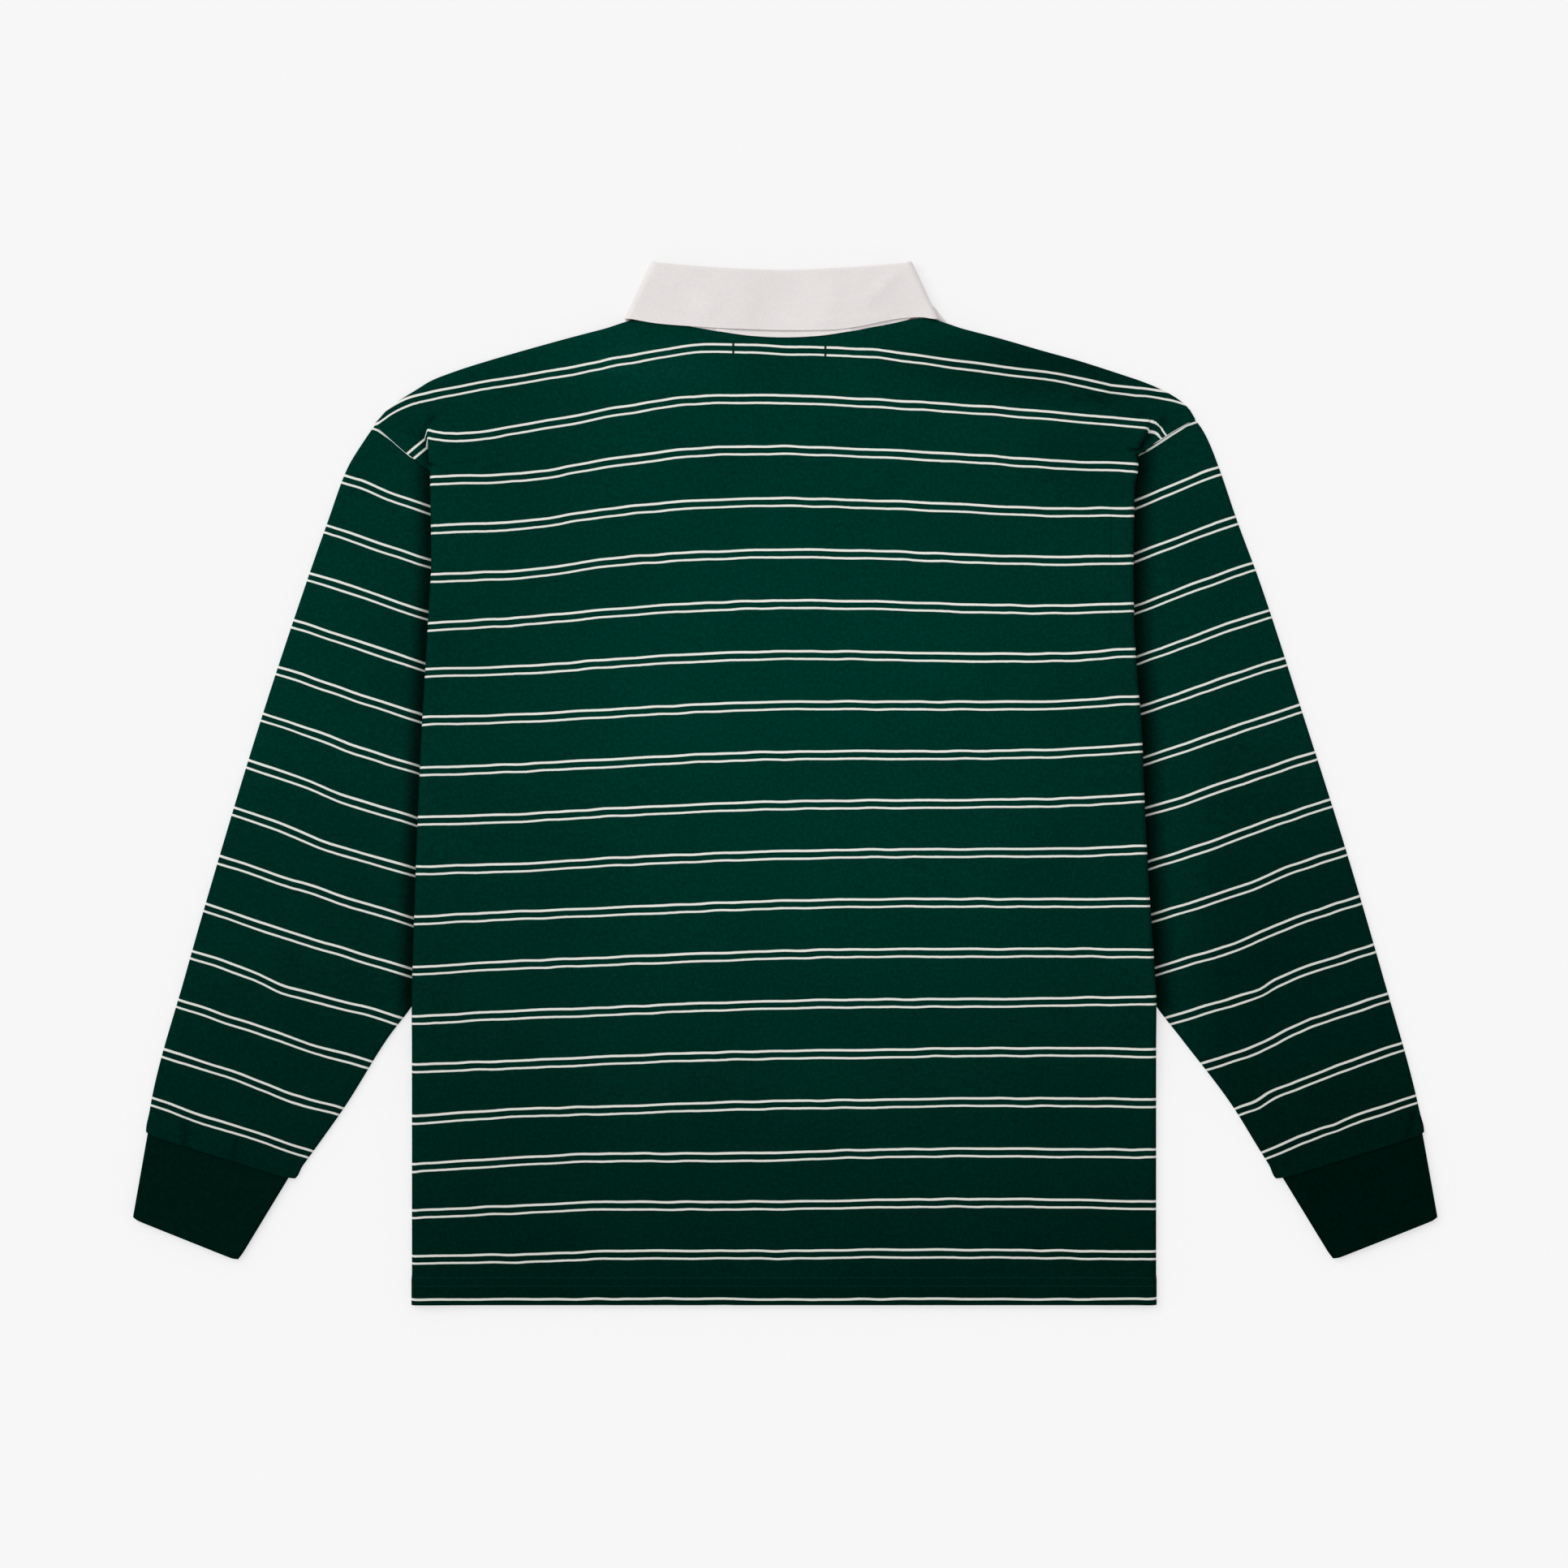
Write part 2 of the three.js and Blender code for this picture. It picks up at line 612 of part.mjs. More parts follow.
function frontPanel() {
  const inset = (x) => {
    const out = Math.abs(x);
    const towardsTip = 3.6 * smooth(215, 290, out);
    const towardsNeck = 2.2 * (1 - smooth(120, 160, out));
    return backTop(x) - SHOULDER_INSET - towardsTip - towardsNeck;
  };
  const inNeck = (x) => Math.abs(x - BODY_CENTRE) < NECK_SIDE;
  const top = (x) => (inNeck(x) ? frontNeck(x - BODY_CENTRE) - NECK_SEAM : inset(x));
  const rows = [{}, ...FRONT_LEVELS.map((y) => ({ y }))];
  const grid = rows.map((row) => {
    const y = row.y ?? 275;
    const ends = [SIDES.left, SIDES.right].map((side) => {
      const corner = side.tip.x - side.way * 6;
      const level = y + (side.tip.y - 275) * smooth(150, 262, y);
      return row.y === undefined
        ? { x: corner, y: top(corner) }
        : { x: frontEdgeAt(side, level), y: level };
    });
    const hump = row.y === undefined ? 1 : smooth(130, 240, y);
    const line = rowLine(top, ends[0], ends[1], hump);
    const beside = (side, end) =>
      row.y === undefined || y > 225
        ? [0, 3, 8, 14, 20, 26, 32].map((step) => end.x - side.way * step)
        : frontGuide(side, y);
    const places = [
      ...beside(SIDES.left, ends[0]),
      ...frontColumns,
      ...beside(SIDES.right, ends[1]).reverse(),
    ];
    return places.map((x) => {
      const y = line(x);
      const ply = y < HEM_Y + HEM_DEPTH + 1 ? (HEM_PLY - JERSEY) / 2 : 0;
      return new THREE.Vector3(x, y, frontHeight(x, y) + ply);
    });
  });
  const wall = clothWall(grid, (point) => (point.y < HEM_Y + HEM_DEPTH + 1 ? HEM_PLY : JERSEY));
  return cutOpening(wall);
}

const FRONT_COLUMNS = [214, 176, 140, 116, 108, 104, 97, 86, 70, 52, 34, 21];
const frontColumns = [
  ...FRONT_COLUMNS.map((x) => BODY_CENTRE - x),
  ...[...FRONT_COLUMNS].reverse().map((x) => BODY_CENTRE + x),
];

// A solid for manifold-3d from a geometry, and a geometry back from a solid
function solidOf(geometry) {
  const bare = new THREE.BufferGeometry();
  bare.setAttribute("position", geometry.getAttribute("position"));
  bare.setIndex(geometry.index);
  const merged = mergeVertices(bare, 1e-4);
  return new wasm.Manifold(
    new wasm.Mesh({
      numProp: 3,
      vertProperties: merged.getAttribute("position").array,
      triVerts: new Uint32Array(merged.index.array),
    }),
  );
}

function geometryOf(solid) {
  const mesh = solid.getMesh();
  const geometry = new THREE.BufferGeometry();
  geometry.setAttribute("position", new THREE.BufferAttribute(mesh.vertProperties, 3));
  geometry.setIndex(new THREE.BufferAttribute(mesh.triVerts, 1));
  return geometry;
}

// The front opening, cut from the neckline down, which the placket's two strips fill and cover
const slitBottom = PLACKET_BOTTOM + 6;

function cutOpening(wall) {
  const depth = 300 - slitBottom;
  const box = new THREE.BoxGeometry(OPENING_WIDTH, depth, 40);
  box.translate(BODY_CENTRE, 300 - depth / 2, 0);
  return geometryOf(solidOf(wall).subtract(solidOf(box)));
}

// A flat strip of the placket at one height
function strip(width, top, bottom, height) {
  const across = [-0.5, 0, 0.5];
  const levels = [0, 0.25, 0.5, 0.75, 1];
  const grid = levels.map((t) =>
    across.map(
      (share) => new THREE.Vector3(BODY_CENTRE + share * width, mix(top, bottom, t), height),
    ),
  );
  return clothWall(grid, JERSEY);
}

// A sleeve: a flattened tube from the armhole seam to the cuff
const SLEEVE_RINGS = [
  0.002, 0.02, 0.05, 0.1, 0.16, 0.23, 0.31, 0.39, 0.47, 0.55, 0.63, 0.71, 0.79, 0.87, 0.94, 1,
];
const SLEEVE_ACROSS = [0, 0.012, 0.05, 0.14, 0.27, 0.42, 0.58, 0.73, 0.86, 0.95, 0.988, 1];
const SLEEVE_BELOW = [0.985, 0.88, 0.7, 0.5, 0.3, 0.12, 0.015];

// The height of a sleeve's upper layer at a share of the way along and across it
function sleeveHeight(side, x, y, along, across) {
  const clear = side.way * (x - side.edge(y));
  const free = y < SLEEVE_LEAVES_Y ? 1 : smooth(2, 50, clear);
  const crown = (4 * across * (1 - across)) ** 0.6;
  const ends = smooth(0, 0.12, along) * mix(1, 0.35, smooth(0.9, 1, along));
  const folds = foldHeight(SLEEVE_FOLDS, x, y) * Math.min(1, crown * 1.5);
  return SLEEVE_TOP + free * ends * (SLEEVE_PUFF * crown + folds);
}

function sleevePlan(side, along, across) {
  const outer = side.outer(along);
  const inner = side.inner(along);
  const chord = mixPoint(outer, inner, across);
  const seam = side.armhole(across);
  const tip = side.armhole(0);
  const underarm = side.armhole(1);
  const fade = Math.max(0, 1 - along / 0.4) ** 2;
  const straight = mixPoint(tip, underarm, across);
  const bow = { x: seam.x - straight.x, y: seam.y - straight.y };
  return { x: chord.x + bow.x * fade, y: chord.y + bow.y * fade };
}

function sleeve(side) {
  const outline = JERSEY / 2;
  const grid = SLEEVE_RINGS.map((along) => {
    const place = (across) => {
      const here = sleevePlan(side, along, across);
      const start = sleevePlan(side, along, 0);
      const end = sleevePlan(side, along, 1);
      const width = Math.hypot(end.x - start.x, end.y - start.y);
      const inset = (outline / width) * (1 - 2 * across);
      return { x: here.x + (end.x - start.x) * inset, y: here.y + (end.y - start.y) * inset };
    };
    const upper = SLEEVE_ACROSS.map((across) => {
      const { x, y } = place(across);
      const edge = across === 0 || across === 1;
      const middle = (SLEEVE_TOP + FLOOR_LAYER) / 2;
      return new THREE.Vector3(x, y, edge ? middle : sleeveHeight(side, x, y, along, across));
    });
    const lower = SLEEVE_BELOW.map((across) => {
      const { x, y } = place(across);
      return new THREE.Vector3(x, y, FLOOR_LAYER);
    });
    return [...upper, ...lower];
  });
  return clothWall(grid, JERSEY, true);
}

// A cuff: a flattened tube of rib
function cuff(side) {
  const { outerTop, outerEnd, innerTop, innerEnd } = side.cuff;
  const lengthwise = [0, 0.06, 0.5, 0.94, 1];
  const crosswise = [0, 0.04, 0.2, 0.5, 0.8, 0.96, 1];
  const low = RIB / 2;
  const high = RIB * 1.5 + SEAM;
  const grid = lengthwise.map((along) => {
    const outer = mixPoint(outerTop, outerEnd, along);
    const inner = mixPoint(innerTop, innerEnd, along);
    const width = Math.hypot(inner.x - outer.x, inner.y - outer.y);
    const place = (across) => {
      const inset = (RIB / 2 / width) * (1 - 2 * across);
      return mixPoint(outer, inner, across + inset);
    };
    const upper = crosswise.map((across) => {
      const { x, y } = place(across);
      const edge = across === 0 || across === 1;
      const crown = 0.5 * (4 * across * (1 - across)) ** 0.6;
      return new THREE.Vector3(x, y, edge ? (low + high) / 2 : high + crown);
    });
    const lower = crosswise
      .slice(1, -1)
      .reverse()
      .map((across) => new THREE.Vector3(place(across).x, place(across).y, low));
    return [...upper, ...lower];
  });
  return clothWall(grid, RIB, true);
}

// The collar's stations, from the left front round the back to the right front. Each one has a
// fold point, a free edge point and a neck seam point in plan, and the way that is outside there.
const BACK_STATIONS = [-1, -0.84, -0.62, -0.38, -0.13, 0.13, 0.38, 0.62, 0.84, 1];
const WRAP_ANGLES = [30, 60, 90, 120, 150];
const FRONT_STATIONS = [
  { share: 0, neckX: 110 },
  { share: 0.14, neckX: 104 },
  { share: 0.3, neckX: 97 },
  { share: 0.46, neckX: 86 },
  { share: 0.62, neckX: 70 },
  { share: 0.78, neckX: 52 },
  { share: 0.9, neckX: 34 },
  { share: 1, neckX: 6 },
];

function collarStations() {
  const { foldSide, foldCentreY, edgeSide, edgeCentreY, neckSide } = COLLAR;
  const up = new THREE.Vector3(0, 0, 1);
  const back = BACK_STATIONS.map((share) => {
    const s = Math.abs(share);
    const neckX = share * neckSide.x;
    const neckY = s === 1 ? neckSide.y : backTop(BODY_CENTRE + neckX) + SEAM;
    return {
      fold: { x: share * foldSide.x, y: mix(foldCentreY, foldSide.y, s ** 1.25) },
      edge: { x: share * edgeSide.x, y: mix(edgeCentreY, edgeSide.y, s ** 1.6) },
      neck: { x: neckX, y: s === 1 ? neckY : mix(neckY, neckSide.y, smooth(0.85, 1, s)) },
      out: up,
    };
  });
  const frontFold = curve(FRONT_FOLD);
  const frontEdge = curve(FRONT_EDGE);
  const slant = new THREE.Vector2(edgeSide.x - foldSide.x, edgeSide.y - foldSide.y).normalize();
  const wrap = (way) =>
    WRAP_ANGLES.map((degrees) => {
      const angle = THREE.MathUtils.degToRad(degrees);
      const outward = new THREE.Vector3(-slant.y * way, slant.x, 0);
      const out = outward.multiplyScalar(Math.sin(angle)).addScaledVector(up, Math.cos(angle));
      const turn = (point) => ({ x: way * point.x, y: point.y });
      return { fold: turn(foldSide), edge: turn(edgeSide), neck: turn(neckSide), out };
    });
  const front = (way) =>
    FRONT_STATIONS.map(({ share, neckX }) => {
      const turn = (point) => ({ x: way * point.x, y: point.y });
      const neck = share === 0 ? neckSide : { x: neckX, y: frontNeck(neckX) + NECK_SEAM };
      return {
        fold: turn(frontFold(share)),
        edge: turn(frontEdge(share)),
        neck: turn(neck),
        out: up.clone().negate(),
      };
    });
  const ring = [
    ...front(-1).reverse(),
    ...wrap(-1).reverse(),
    ...back,
    ...wrap(1),
    ...front(1),
  ];
  return ring.map((station) => ({ ...station, ...shifted(station) }));
}

function shifted({ fold, edge, neck }) {
  const move = ({ x, y }) => ({ x: x + BODY_CENTRE, y });
  return { fold: move(fold), edge: move(edge), neck: move(neck) };
}

// A place on the collar: from the fold towards a plan point, and out from the neck tube's middle
function collarPoint(station, towards, distance, reach) {
  const run = new THREE.Vector3(towards.x - station.fold.x, towards.y - station.fold.y, 0);
  return new THREE.Vector3(station.fold.x, station.fold.y, NECK_MIDDLE)
    .addScaledVector(run.normalize(), distance)
    .addScaledVector(station.out, reach);
}

const FOLD_ROLL = (FALL_REACH - STAND_REACH) / 2;
const LIP = 4.5;

// The fall: from a lip on the stand's side, over the fold and down to its free edge
function collarFall() {
  const grid = collarStations().map((station) => {
    const { fold, edge, neck } = station;
    const length = Math.hypot(edge.x - fold.x, edge.y - fold.y);
    const lip = [LIP, 2.8].map((n) => collarPoint(station, neck, n, STAND_REACH));
    const roll = [-90, -30, 30, 90].map((degrees) => {
      const angle = THREE.MathUtils.degToRad(degrees);
      const distance = FOLD_ROLL * (1 - Math.cos(angle));
      const reach = STAND_REACH + FOLD_ROLL * (1 + Math.sin(angle));
      return collarPoint(station, edge, distance, reach);
    });
    const fall = [0.25, 0.5, 0.75, 1].map((share) => {
      const reach = mix(FALL_REACH, FALL_EDGE_REACH, share);
      return collarPoint(station, edge, mix(FOLD_ROLL, length, share), reach);
    });
    return [...lip, ...roll, ...fall];
  });
  return clothWall(grid, DRILL);
}

// The stand: the band between the fall's lip and the neck seam
function collarStand() {
  const grid = collarStations().map((station) => {
    const { fold, neck } = station;
    const length = Math.hypot(neck.x - fold.x, neck.y - fold.y);
    return [0, 0.3, 0.65, 1].map((share) =>
      collarPoint(station, neck, mix(LIP + SEAM + 0.4, length, share), STAND_REACH),
    );
  });
  return clothWall(grid, DRILL);
}

const jersey = () => new THREE.MeshStandardMaterial({ color: GREEN, roughness: 0.9, metalness: 0 });
const rib = () => new THREE.MeshStandardMaterial({ color: RIB_GREEN, roughness: 0.95, metalness: 0 });
const drill = () => new THREE.MeshStandardMaterial({ color: WHITE, roughness: 0.85, metalness: 0 });

const shirt = new THREE.Group();

function add(name, geometry, material) {
  const mesh = new THREE.Mesh(geometry, material);
  mesh.name = name;
  shirt.add(mesh);
}

add("back_panel", backPanel(), jersey());
add("front_panel", frontPanel(), jersey());
add("sleeve_left", sleeve(SIDES.left), jersey());
add("sleeve_right", sleeve(SIDES.right), jersey());
add("cuff_left", cuff(SIDES.left), rib());
add("cuff_right", cuff(SIDES.right), rib());
add("collar_fall", collarFall(), drill());
add("collar_stand", collarStand(), drill());
add("placket_outer", strip(PLACKET_WIDTH, PLACKET_TOP, PLACKET_BOTTOM, FLOOR_LAYER), drill());
const innerWidth = OPENING_WIDTH - 2 * SEAM;
const innerHeight = FLOOR_LAYER + JERSEY + SEAM;
add("placket_inner", strip(innerWidth, PLACKET_TOP - 1, slitBottom + SEAM, innerHeight), drill());

export default shirt;
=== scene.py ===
# %% [markdown]
# # A rugby shirt laid flat, its back up
# The imported CAD part is the frame: every piece below is made where its solid lies, in metres, and
# then stands for that solid. The shirt is a laid-out garment, so nothing hangs: the front panel
# lies on the surface, the tucked sleeves and the back panel lie on it, and the collar wraps the
# neck. A cloth simulation would only flatten this further, so each panel is a fine grid whose
# heights come from short tables, with its creases placed one by one.

import math

import bpy
import numpy as np
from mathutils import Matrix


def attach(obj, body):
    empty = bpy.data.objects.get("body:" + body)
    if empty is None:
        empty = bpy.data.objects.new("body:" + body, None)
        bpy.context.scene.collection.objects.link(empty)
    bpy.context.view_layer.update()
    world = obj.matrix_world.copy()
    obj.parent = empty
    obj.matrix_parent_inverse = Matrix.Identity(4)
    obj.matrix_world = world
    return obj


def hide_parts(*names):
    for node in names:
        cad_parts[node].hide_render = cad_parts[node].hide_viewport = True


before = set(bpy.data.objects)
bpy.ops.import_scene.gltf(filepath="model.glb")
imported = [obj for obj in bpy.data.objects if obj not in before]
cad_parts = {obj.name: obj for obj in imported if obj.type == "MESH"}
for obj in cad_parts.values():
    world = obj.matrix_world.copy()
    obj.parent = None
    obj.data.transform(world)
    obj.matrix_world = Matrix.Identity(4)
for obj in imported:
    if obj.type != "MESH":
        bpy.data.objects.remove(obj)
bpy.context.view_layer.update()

# %% [markdown]
# ## Camera
# The shirt is seen from straight above. A long lens from three metres away keeps the thin garment
# free of perspective, as on a flat-lay table. The width of the view follows from one number, the
# size of an image pixel on the cloth.

# %% Camera straight above the shirt
IMAGE_PIXELS = 1932
PIXEL_MM = 0.620915
LENS_MM = 100
SENSOR_MM = 36
VIEW_CENTRE = (-0.93, -0.62)
VIEW_PLANE = 4.5

view_width = IMAGE_PIXELS * PIXEL_MM
view_distance = view_width * LENS_MM / SENSOR_MM
camera_data = bpy.data.cameras.new("camera")
camera_data.lens = LENS_MM
camera_data.sensor_width = SENSOR_MM
camera_data.clip_end = 20
camera = bpy.data.objects.new("camera", camera_data)
camera.location = (VIEW_CENTRE[0] / 1000, VIEW_CENTRE[1] / 1000, (VIEW_PLANE + view_distance) / 1000)
bpy.context.scene.collection.objects.link(camera)
bpy.context.scene.camera = camera
print("camera %.0f mm above, view %.1f mm wide" % (view_distance, view_width))

# %% [markdown]
# ## Measures
# A pattern maker works from a few lengths and from curves given by some points. The same named
# values shape the solids, in millimetres, so the dressed pieces lie where the solids lie.

# %% Lengths and layer heights
HEM_WIDTH = 570
HEM_Y = -398.6
HEM_DEPTH = 21
BODY_CENTRE = -0.9
JERSEY = 1.2
HEM_PLY = 2.0
RIB = 2.0
DRILL = 1.4
SEAM = 0.3

FLOOR_LAYER = 0.6
SLEEVE_TOP = 2.1
OVER_SLEEVE = 3.9
BACK_REST = 3.6
SIDE_RISE = 5.2
FLOOR_RIM = 0.6
SLEEVE_RIM = 3.4
CAP_EDGE = 3.5
CAP_LAP = 0.6
SLEEVE_END = 5.7
CUFF_LAP = 2.6
NECK_LAP = 1.1
SLEEVE_PUFF = 3.6
ROLL = 3.6

NECK_MIDDLE = 5.2
STAND_REACH = 1.9
FALL_REACH = 4.5
FALL_EDGE_REACH = 3.9
FOLD_ROLL = 1.3
LIP = 4.5
NECK_SIDE = 108.5

# %% Outlines of the body
# How far each side is drawn in from the hem's width: height, left, right
SIDE_TUCK = [
    (279.4, 9.0, 2.0), (271.3, 10.5, 5.0), (263.9, 11.8, 8.7), (251.5, 13.3, 15.2),
    (242.1, 13.8, 13.7), (226.6, 14.2, 16.5), (170.8, 14.9, 17.4), (127.3, 12.7, 17.1), (83.8, 10.2, 14.6),
    (40.4, 7.7, 11.2), (-21.7, 4.9, 8.7), (-83.8, 2.5, 5.3), (-133.5, 0.9, 1.9),
    (-170.8, 0, 0), (HEM_Y, 0, 0),
]
# Shoulder line and back neckline, left armhole seam to right: x, y
BACK_TOP = [
    (-313.9, 275.1), (-304.6, 286.2), (-294.6, 293.7), (-282.8, 301.1), (-270.4, 308.6),
    (-251.2, 316.0), (-227.6, 323.5), (-202.1, 330.9), (-166.1, 340.9), (-140.0, 347.7),
    (-109.0, 355.6), (-80.0, 350.6), (-68.0, 348.4), (-50.0, 345.1), (-25.0, 342.4),
    (-0.9, 341.5), (25.0, 342.4), (50.0, 345.3), (66.0, 348.4), (79.0, 350.6),
    (107.5, 355.6), (137.5, 347.7), (163.6, 340.9), (198.4, 330.9), (225.1, 323.5),
    (248.7, 316.0), (271.0, 308.6), (289.0, 301.1), (301.5, 293.7), (309.5, 286.2),
    (312.9, 279.4),
]
# Half of the front neckline, neck side to centre front: x, y
FRONT_NECK = [(109, 355.6), (104, 338), (93, 318), (70, 296), (40, 279.8), (15, 273.6), (0, 272.8)]
print("body tables:", len(SIDE_TUCK), "side rows,", len(BACK_TOP), "shoulder points")

# %% Outlines of the sleeves and cuffs
# For each side: the armhole seam from the shoulder tip down, the sleeve's outer and inner edge,
# the cuff's corners (outer top, outer end, inner top, inner end), where the seam goes under, and
# how wide and how dark the painted shade beside the body is
SLEEVES = {
    "left": {
        "way": -1,
        "band": (16, 0.78),
        "tucks_under": 240.9,
        "armhole": [(-313.9, 275.1), (-291.5, 254.6), (-274.8, 240.9), (-266.5, 222.0),
                    (-264.0, 185.0), (-264.0, 110.0), (-264.0, 40.0)],
        "outer": [(-313.9, 275.1), (-321.7, 263.9), (-335.3, 241.5), (-349.9, 201.8),
                  (-367.3, 152.1), (-400.2, 52.8), (-430.6, -46.6), (-459.2, -145.9),
                  (-485.9, -245.3), (-488.6, -265.8)],
        "inner": [(-264.0, 40.0), (-255.0, -5.0), (-251.0, -60.0), (-258.0, -110.0),
                  (-272.0, -148.0), (-285.9, -170.8), (-304.6, -195.6), (-335.6, -245.3),
                  (-360.0, -280.0), (-375.5, -301.0)],
        "cuff": [(-487.3, -266.9), (-498.3, -332.2), (-379.8, -301.4), (-418.2, -364.5)],
    },
    "right": {
        "way": 1,
        "band": (20, 0.80),
        "tucks_under": 252.7,
        "armhole": [(312.9, 279.4), (292.1, 267.0), (273.5, 252.7), (262.5, 228.0),
                    (259.5, 185.0), (259.5, 110.0), (261.0, 40.0)],
        "outer": [(312.9, 279.4), (317.0, 275.0), (323.5, 263.9), (332.4, 241.5), (345.9, 201.8),
                  (364.2, 152.1), (396.5, 52.8), (428.1, -46.6), (457.3, -145.9),
                  (484.6, -245.3), (488.4, -265.8)],
        "inner": [(261.0, 40.0), (252.0, -5.0), (249.0, -60.0), (256.0, -110.0),
                  (270.0, -148.0), (284.1, -170.8), (303.3, -195.6), (341.2, -245.3),
                  (364.0, -282.0), (376.0, -301.0)],
        "cuff": [(487.1, -266.9), (498.3, -332.2), (380.3, -301.1), (418.8, -363.9)],
    },
}
UNDERARM_Y = 40
SLEEVE_LEAVES_Y = -170.8

# %% Outline of the collar and the closure
# Half outlines: the fold is the collar's top edge, the fall ends at its free edge
FOLD_SIDE = (94.7, 397.2)
FOLD_CENTRE_Y = 391.7
EDGE_SIDE = (114.4, 354.8)
# The fall's free edge across the back: x, y
FREE_EDGE = [
    (-115.3, 354.8), (-94.1, 351.1), (-68.7, 349.0), (-41.9, 347.4), (7.8, 346.0), (36, 346.4),
    (55.6, 348.7), (74.7, 352.6), (90, 355.2), (104, 356.0), (113.5, 354.8),
]
NECK_SEAM_SIDE = (110.0, 361.5)
FRONT_FOLD = [(94.7, 397.2), (79, 350), (50, 315), (20, 298), (2, 293.5)]
FRONT_EDGE = [(114.4, 354.8), (110, 322), (97, 290), (80, 262), (60, 238)]
PLACKET_WIDTH = 38
PLACKET_TOP = 270
PLACKET_BOTTOM = 105
OPENING_WIDTH = 33

# %% [markdown]
# ## Curves and heights
# The tables are turned into smooth lines that don't overshoot, so that a straight side stays
# straight between its rows. Distances from an outline then raise or lower the cloth softly.

# %% Smooth lines through tables
def smooth(low, high, value):
    share = np.clip((np.asarray(value, float) - low) / (high - low), 0, 1)
    return share * share * (3 - 2 * share)


def mix(one, two, share):
    return one + (two - one) * share


def table_line(places, values):
    """A smooth line through a table, with no overshoot between its rows."""
    order = np.argsort(places)
    places = np.asarray(places, float)[order]
    values = np.asarray(values, float)[order]
    single = values.ndim == 1
    values = values[:, None] if single else values
    rise = np.diff(values, axis=0) / np.diff(places)[:, None]
    before = np.vstack([rise[:1], rise])
    after = np.vstack([rise, rise[-1:]])
    total = np.where(np.abs(before + after) < 1e-9, 1, before + after)
    slope = np.where(before * after <= 0, 0, 2 * before * after / total)

    def line(at):
        at = np.asarray(at, float)
        k = np.clip(np.searchsorted(places, at, side="right") - 1, 0, len(places) - 2)
        step = (places[k + 1] - places[k])[..., None]
        t = np.clip((at[..., None] - places[k][..., None]) / step, 0, 1)
        blend = t * t * (3 - 2 * t)
        lift = t * (1 - t) * step * (slope[k] * (1 - t) - slope[k + 1] * t)
        found = values[k] * (1 - blend) + values[k + 1] * blend + lift
        return found[..., 0] if single else found

    return line


def plan_line(points):
    """A plan curve through points, by the share of its length."""
    points = np.asarray(points, float)
    chord = np.concatenate([[0], np.cumsum(np.linalg.norm(np.diff(points, axis=0), axis=1))])
    fine = table_line(chord, points)(np.linspace(0, chord[-1], 500))
    length = np.concatenate([[0], np.cumsum(np.linalg.norm(np.diff(fine, axis=0), axis=1))])

    def line(share):
        at = np.clip(share, 0, 1) * length[-1]
        return np.stack([np.interp(at, length, fine[:, k]) for k in (0, 1)], -1)

    return line


def column(rows, k):
    return [row[k] for row in rows]


tuck_left = table_line(column(SIDE_TUCK, 0), column(SIDE_TUCK, 1))
tuck_right = table_line(column(SIDE_TUCK, 0), column(SIDE_TUCK, 2))
back_top = table_line(column(BACK_TOP, 0), column(BACK_TOP, 1))
neck_rows = FRONT_NECK + [(-x, y) for x, y in FRONT_NECK[:-1]]
front_neck = table_line(column(neck_rows, 0), column(neck_rows, 1))


def side_edge(side, y):
    if side["way"] < 0:
        return BODY_CENTRE - HEM_WIDTH / 2 + tuck_left(y)
    return BODY_CENTRE + HEM_WIDTH / 2 - tuck_right(y)


def share_at_height(line, y):
    """The share of a falling plan curve at which it reaches a height."""
    shares = np.linspace(0, 1, 800)
    heights = line(shares)[:, 1]
    return np.interp(-np.asarray(y, float), -heights, shares)


for side in SLEEVES.values():
    side["armhole_line"] = plan_line(side["armhole"])
    side["outer_line"] = plan_line(side["outer"])
    side["inner_line"] = plan_line(side["inner"])
    side["tip"] = side["armhole"][0]
print("back neck at y %.1f, side edges at hem %.1f and %.1f" % (
    back_top(BODY_CENTRE), side_edge(SLEEVES["left"], HEM_Y), side_edge(SLEEVES["right"], HEM_Y)))


# %% Distances in plan
def gap_to_line(x, y, a, b):
    run = np.array([b[0] - a[0], b[1] - a[1]], float)
    share = ((x - a[0]) * run[0] + (y - a[1]) * run[1]) / (run @ run)
    share = np.clip(share, 0, 1)
    return np.hypot(x - a[0] - share * run[0], y - a[1] - share * run[1])


def gap_to(outline, x, y):
    """How far each place lies outside a closed plan outline, 0 inside it."""
    inside = np.zeros(np.shape(x), bool)
    gap = np.full(np.shape(x), np.inf)
    for a, b in zip(outline, list(outline[1:]) + [outline[0]]):
        gap = np.minimum(gap, gap_to_line(x, y, a, b))
        if a[1] != b[1]:
            crosses = ((a[1] > y) != (b[1] > y)) & (x < (b[0] - a[0]) * (y - a[1]) / (b[1] - a[1]) + a[0])
            inside ^= crosses
    return np.where(inside, 0, gap)


def under_body(side):
    shares = np.linspace(0, share_at_height(side["inner_line"], SLEEVE_LEAVES_Y), 16)
    curved = [tuple(p) for p in side["inner_line"](shares)]
    outside = side["way"] * 300
    return curved + [(outside, SLEEVE_LEAVES_Y), (outside, UNDERARM_Y)]


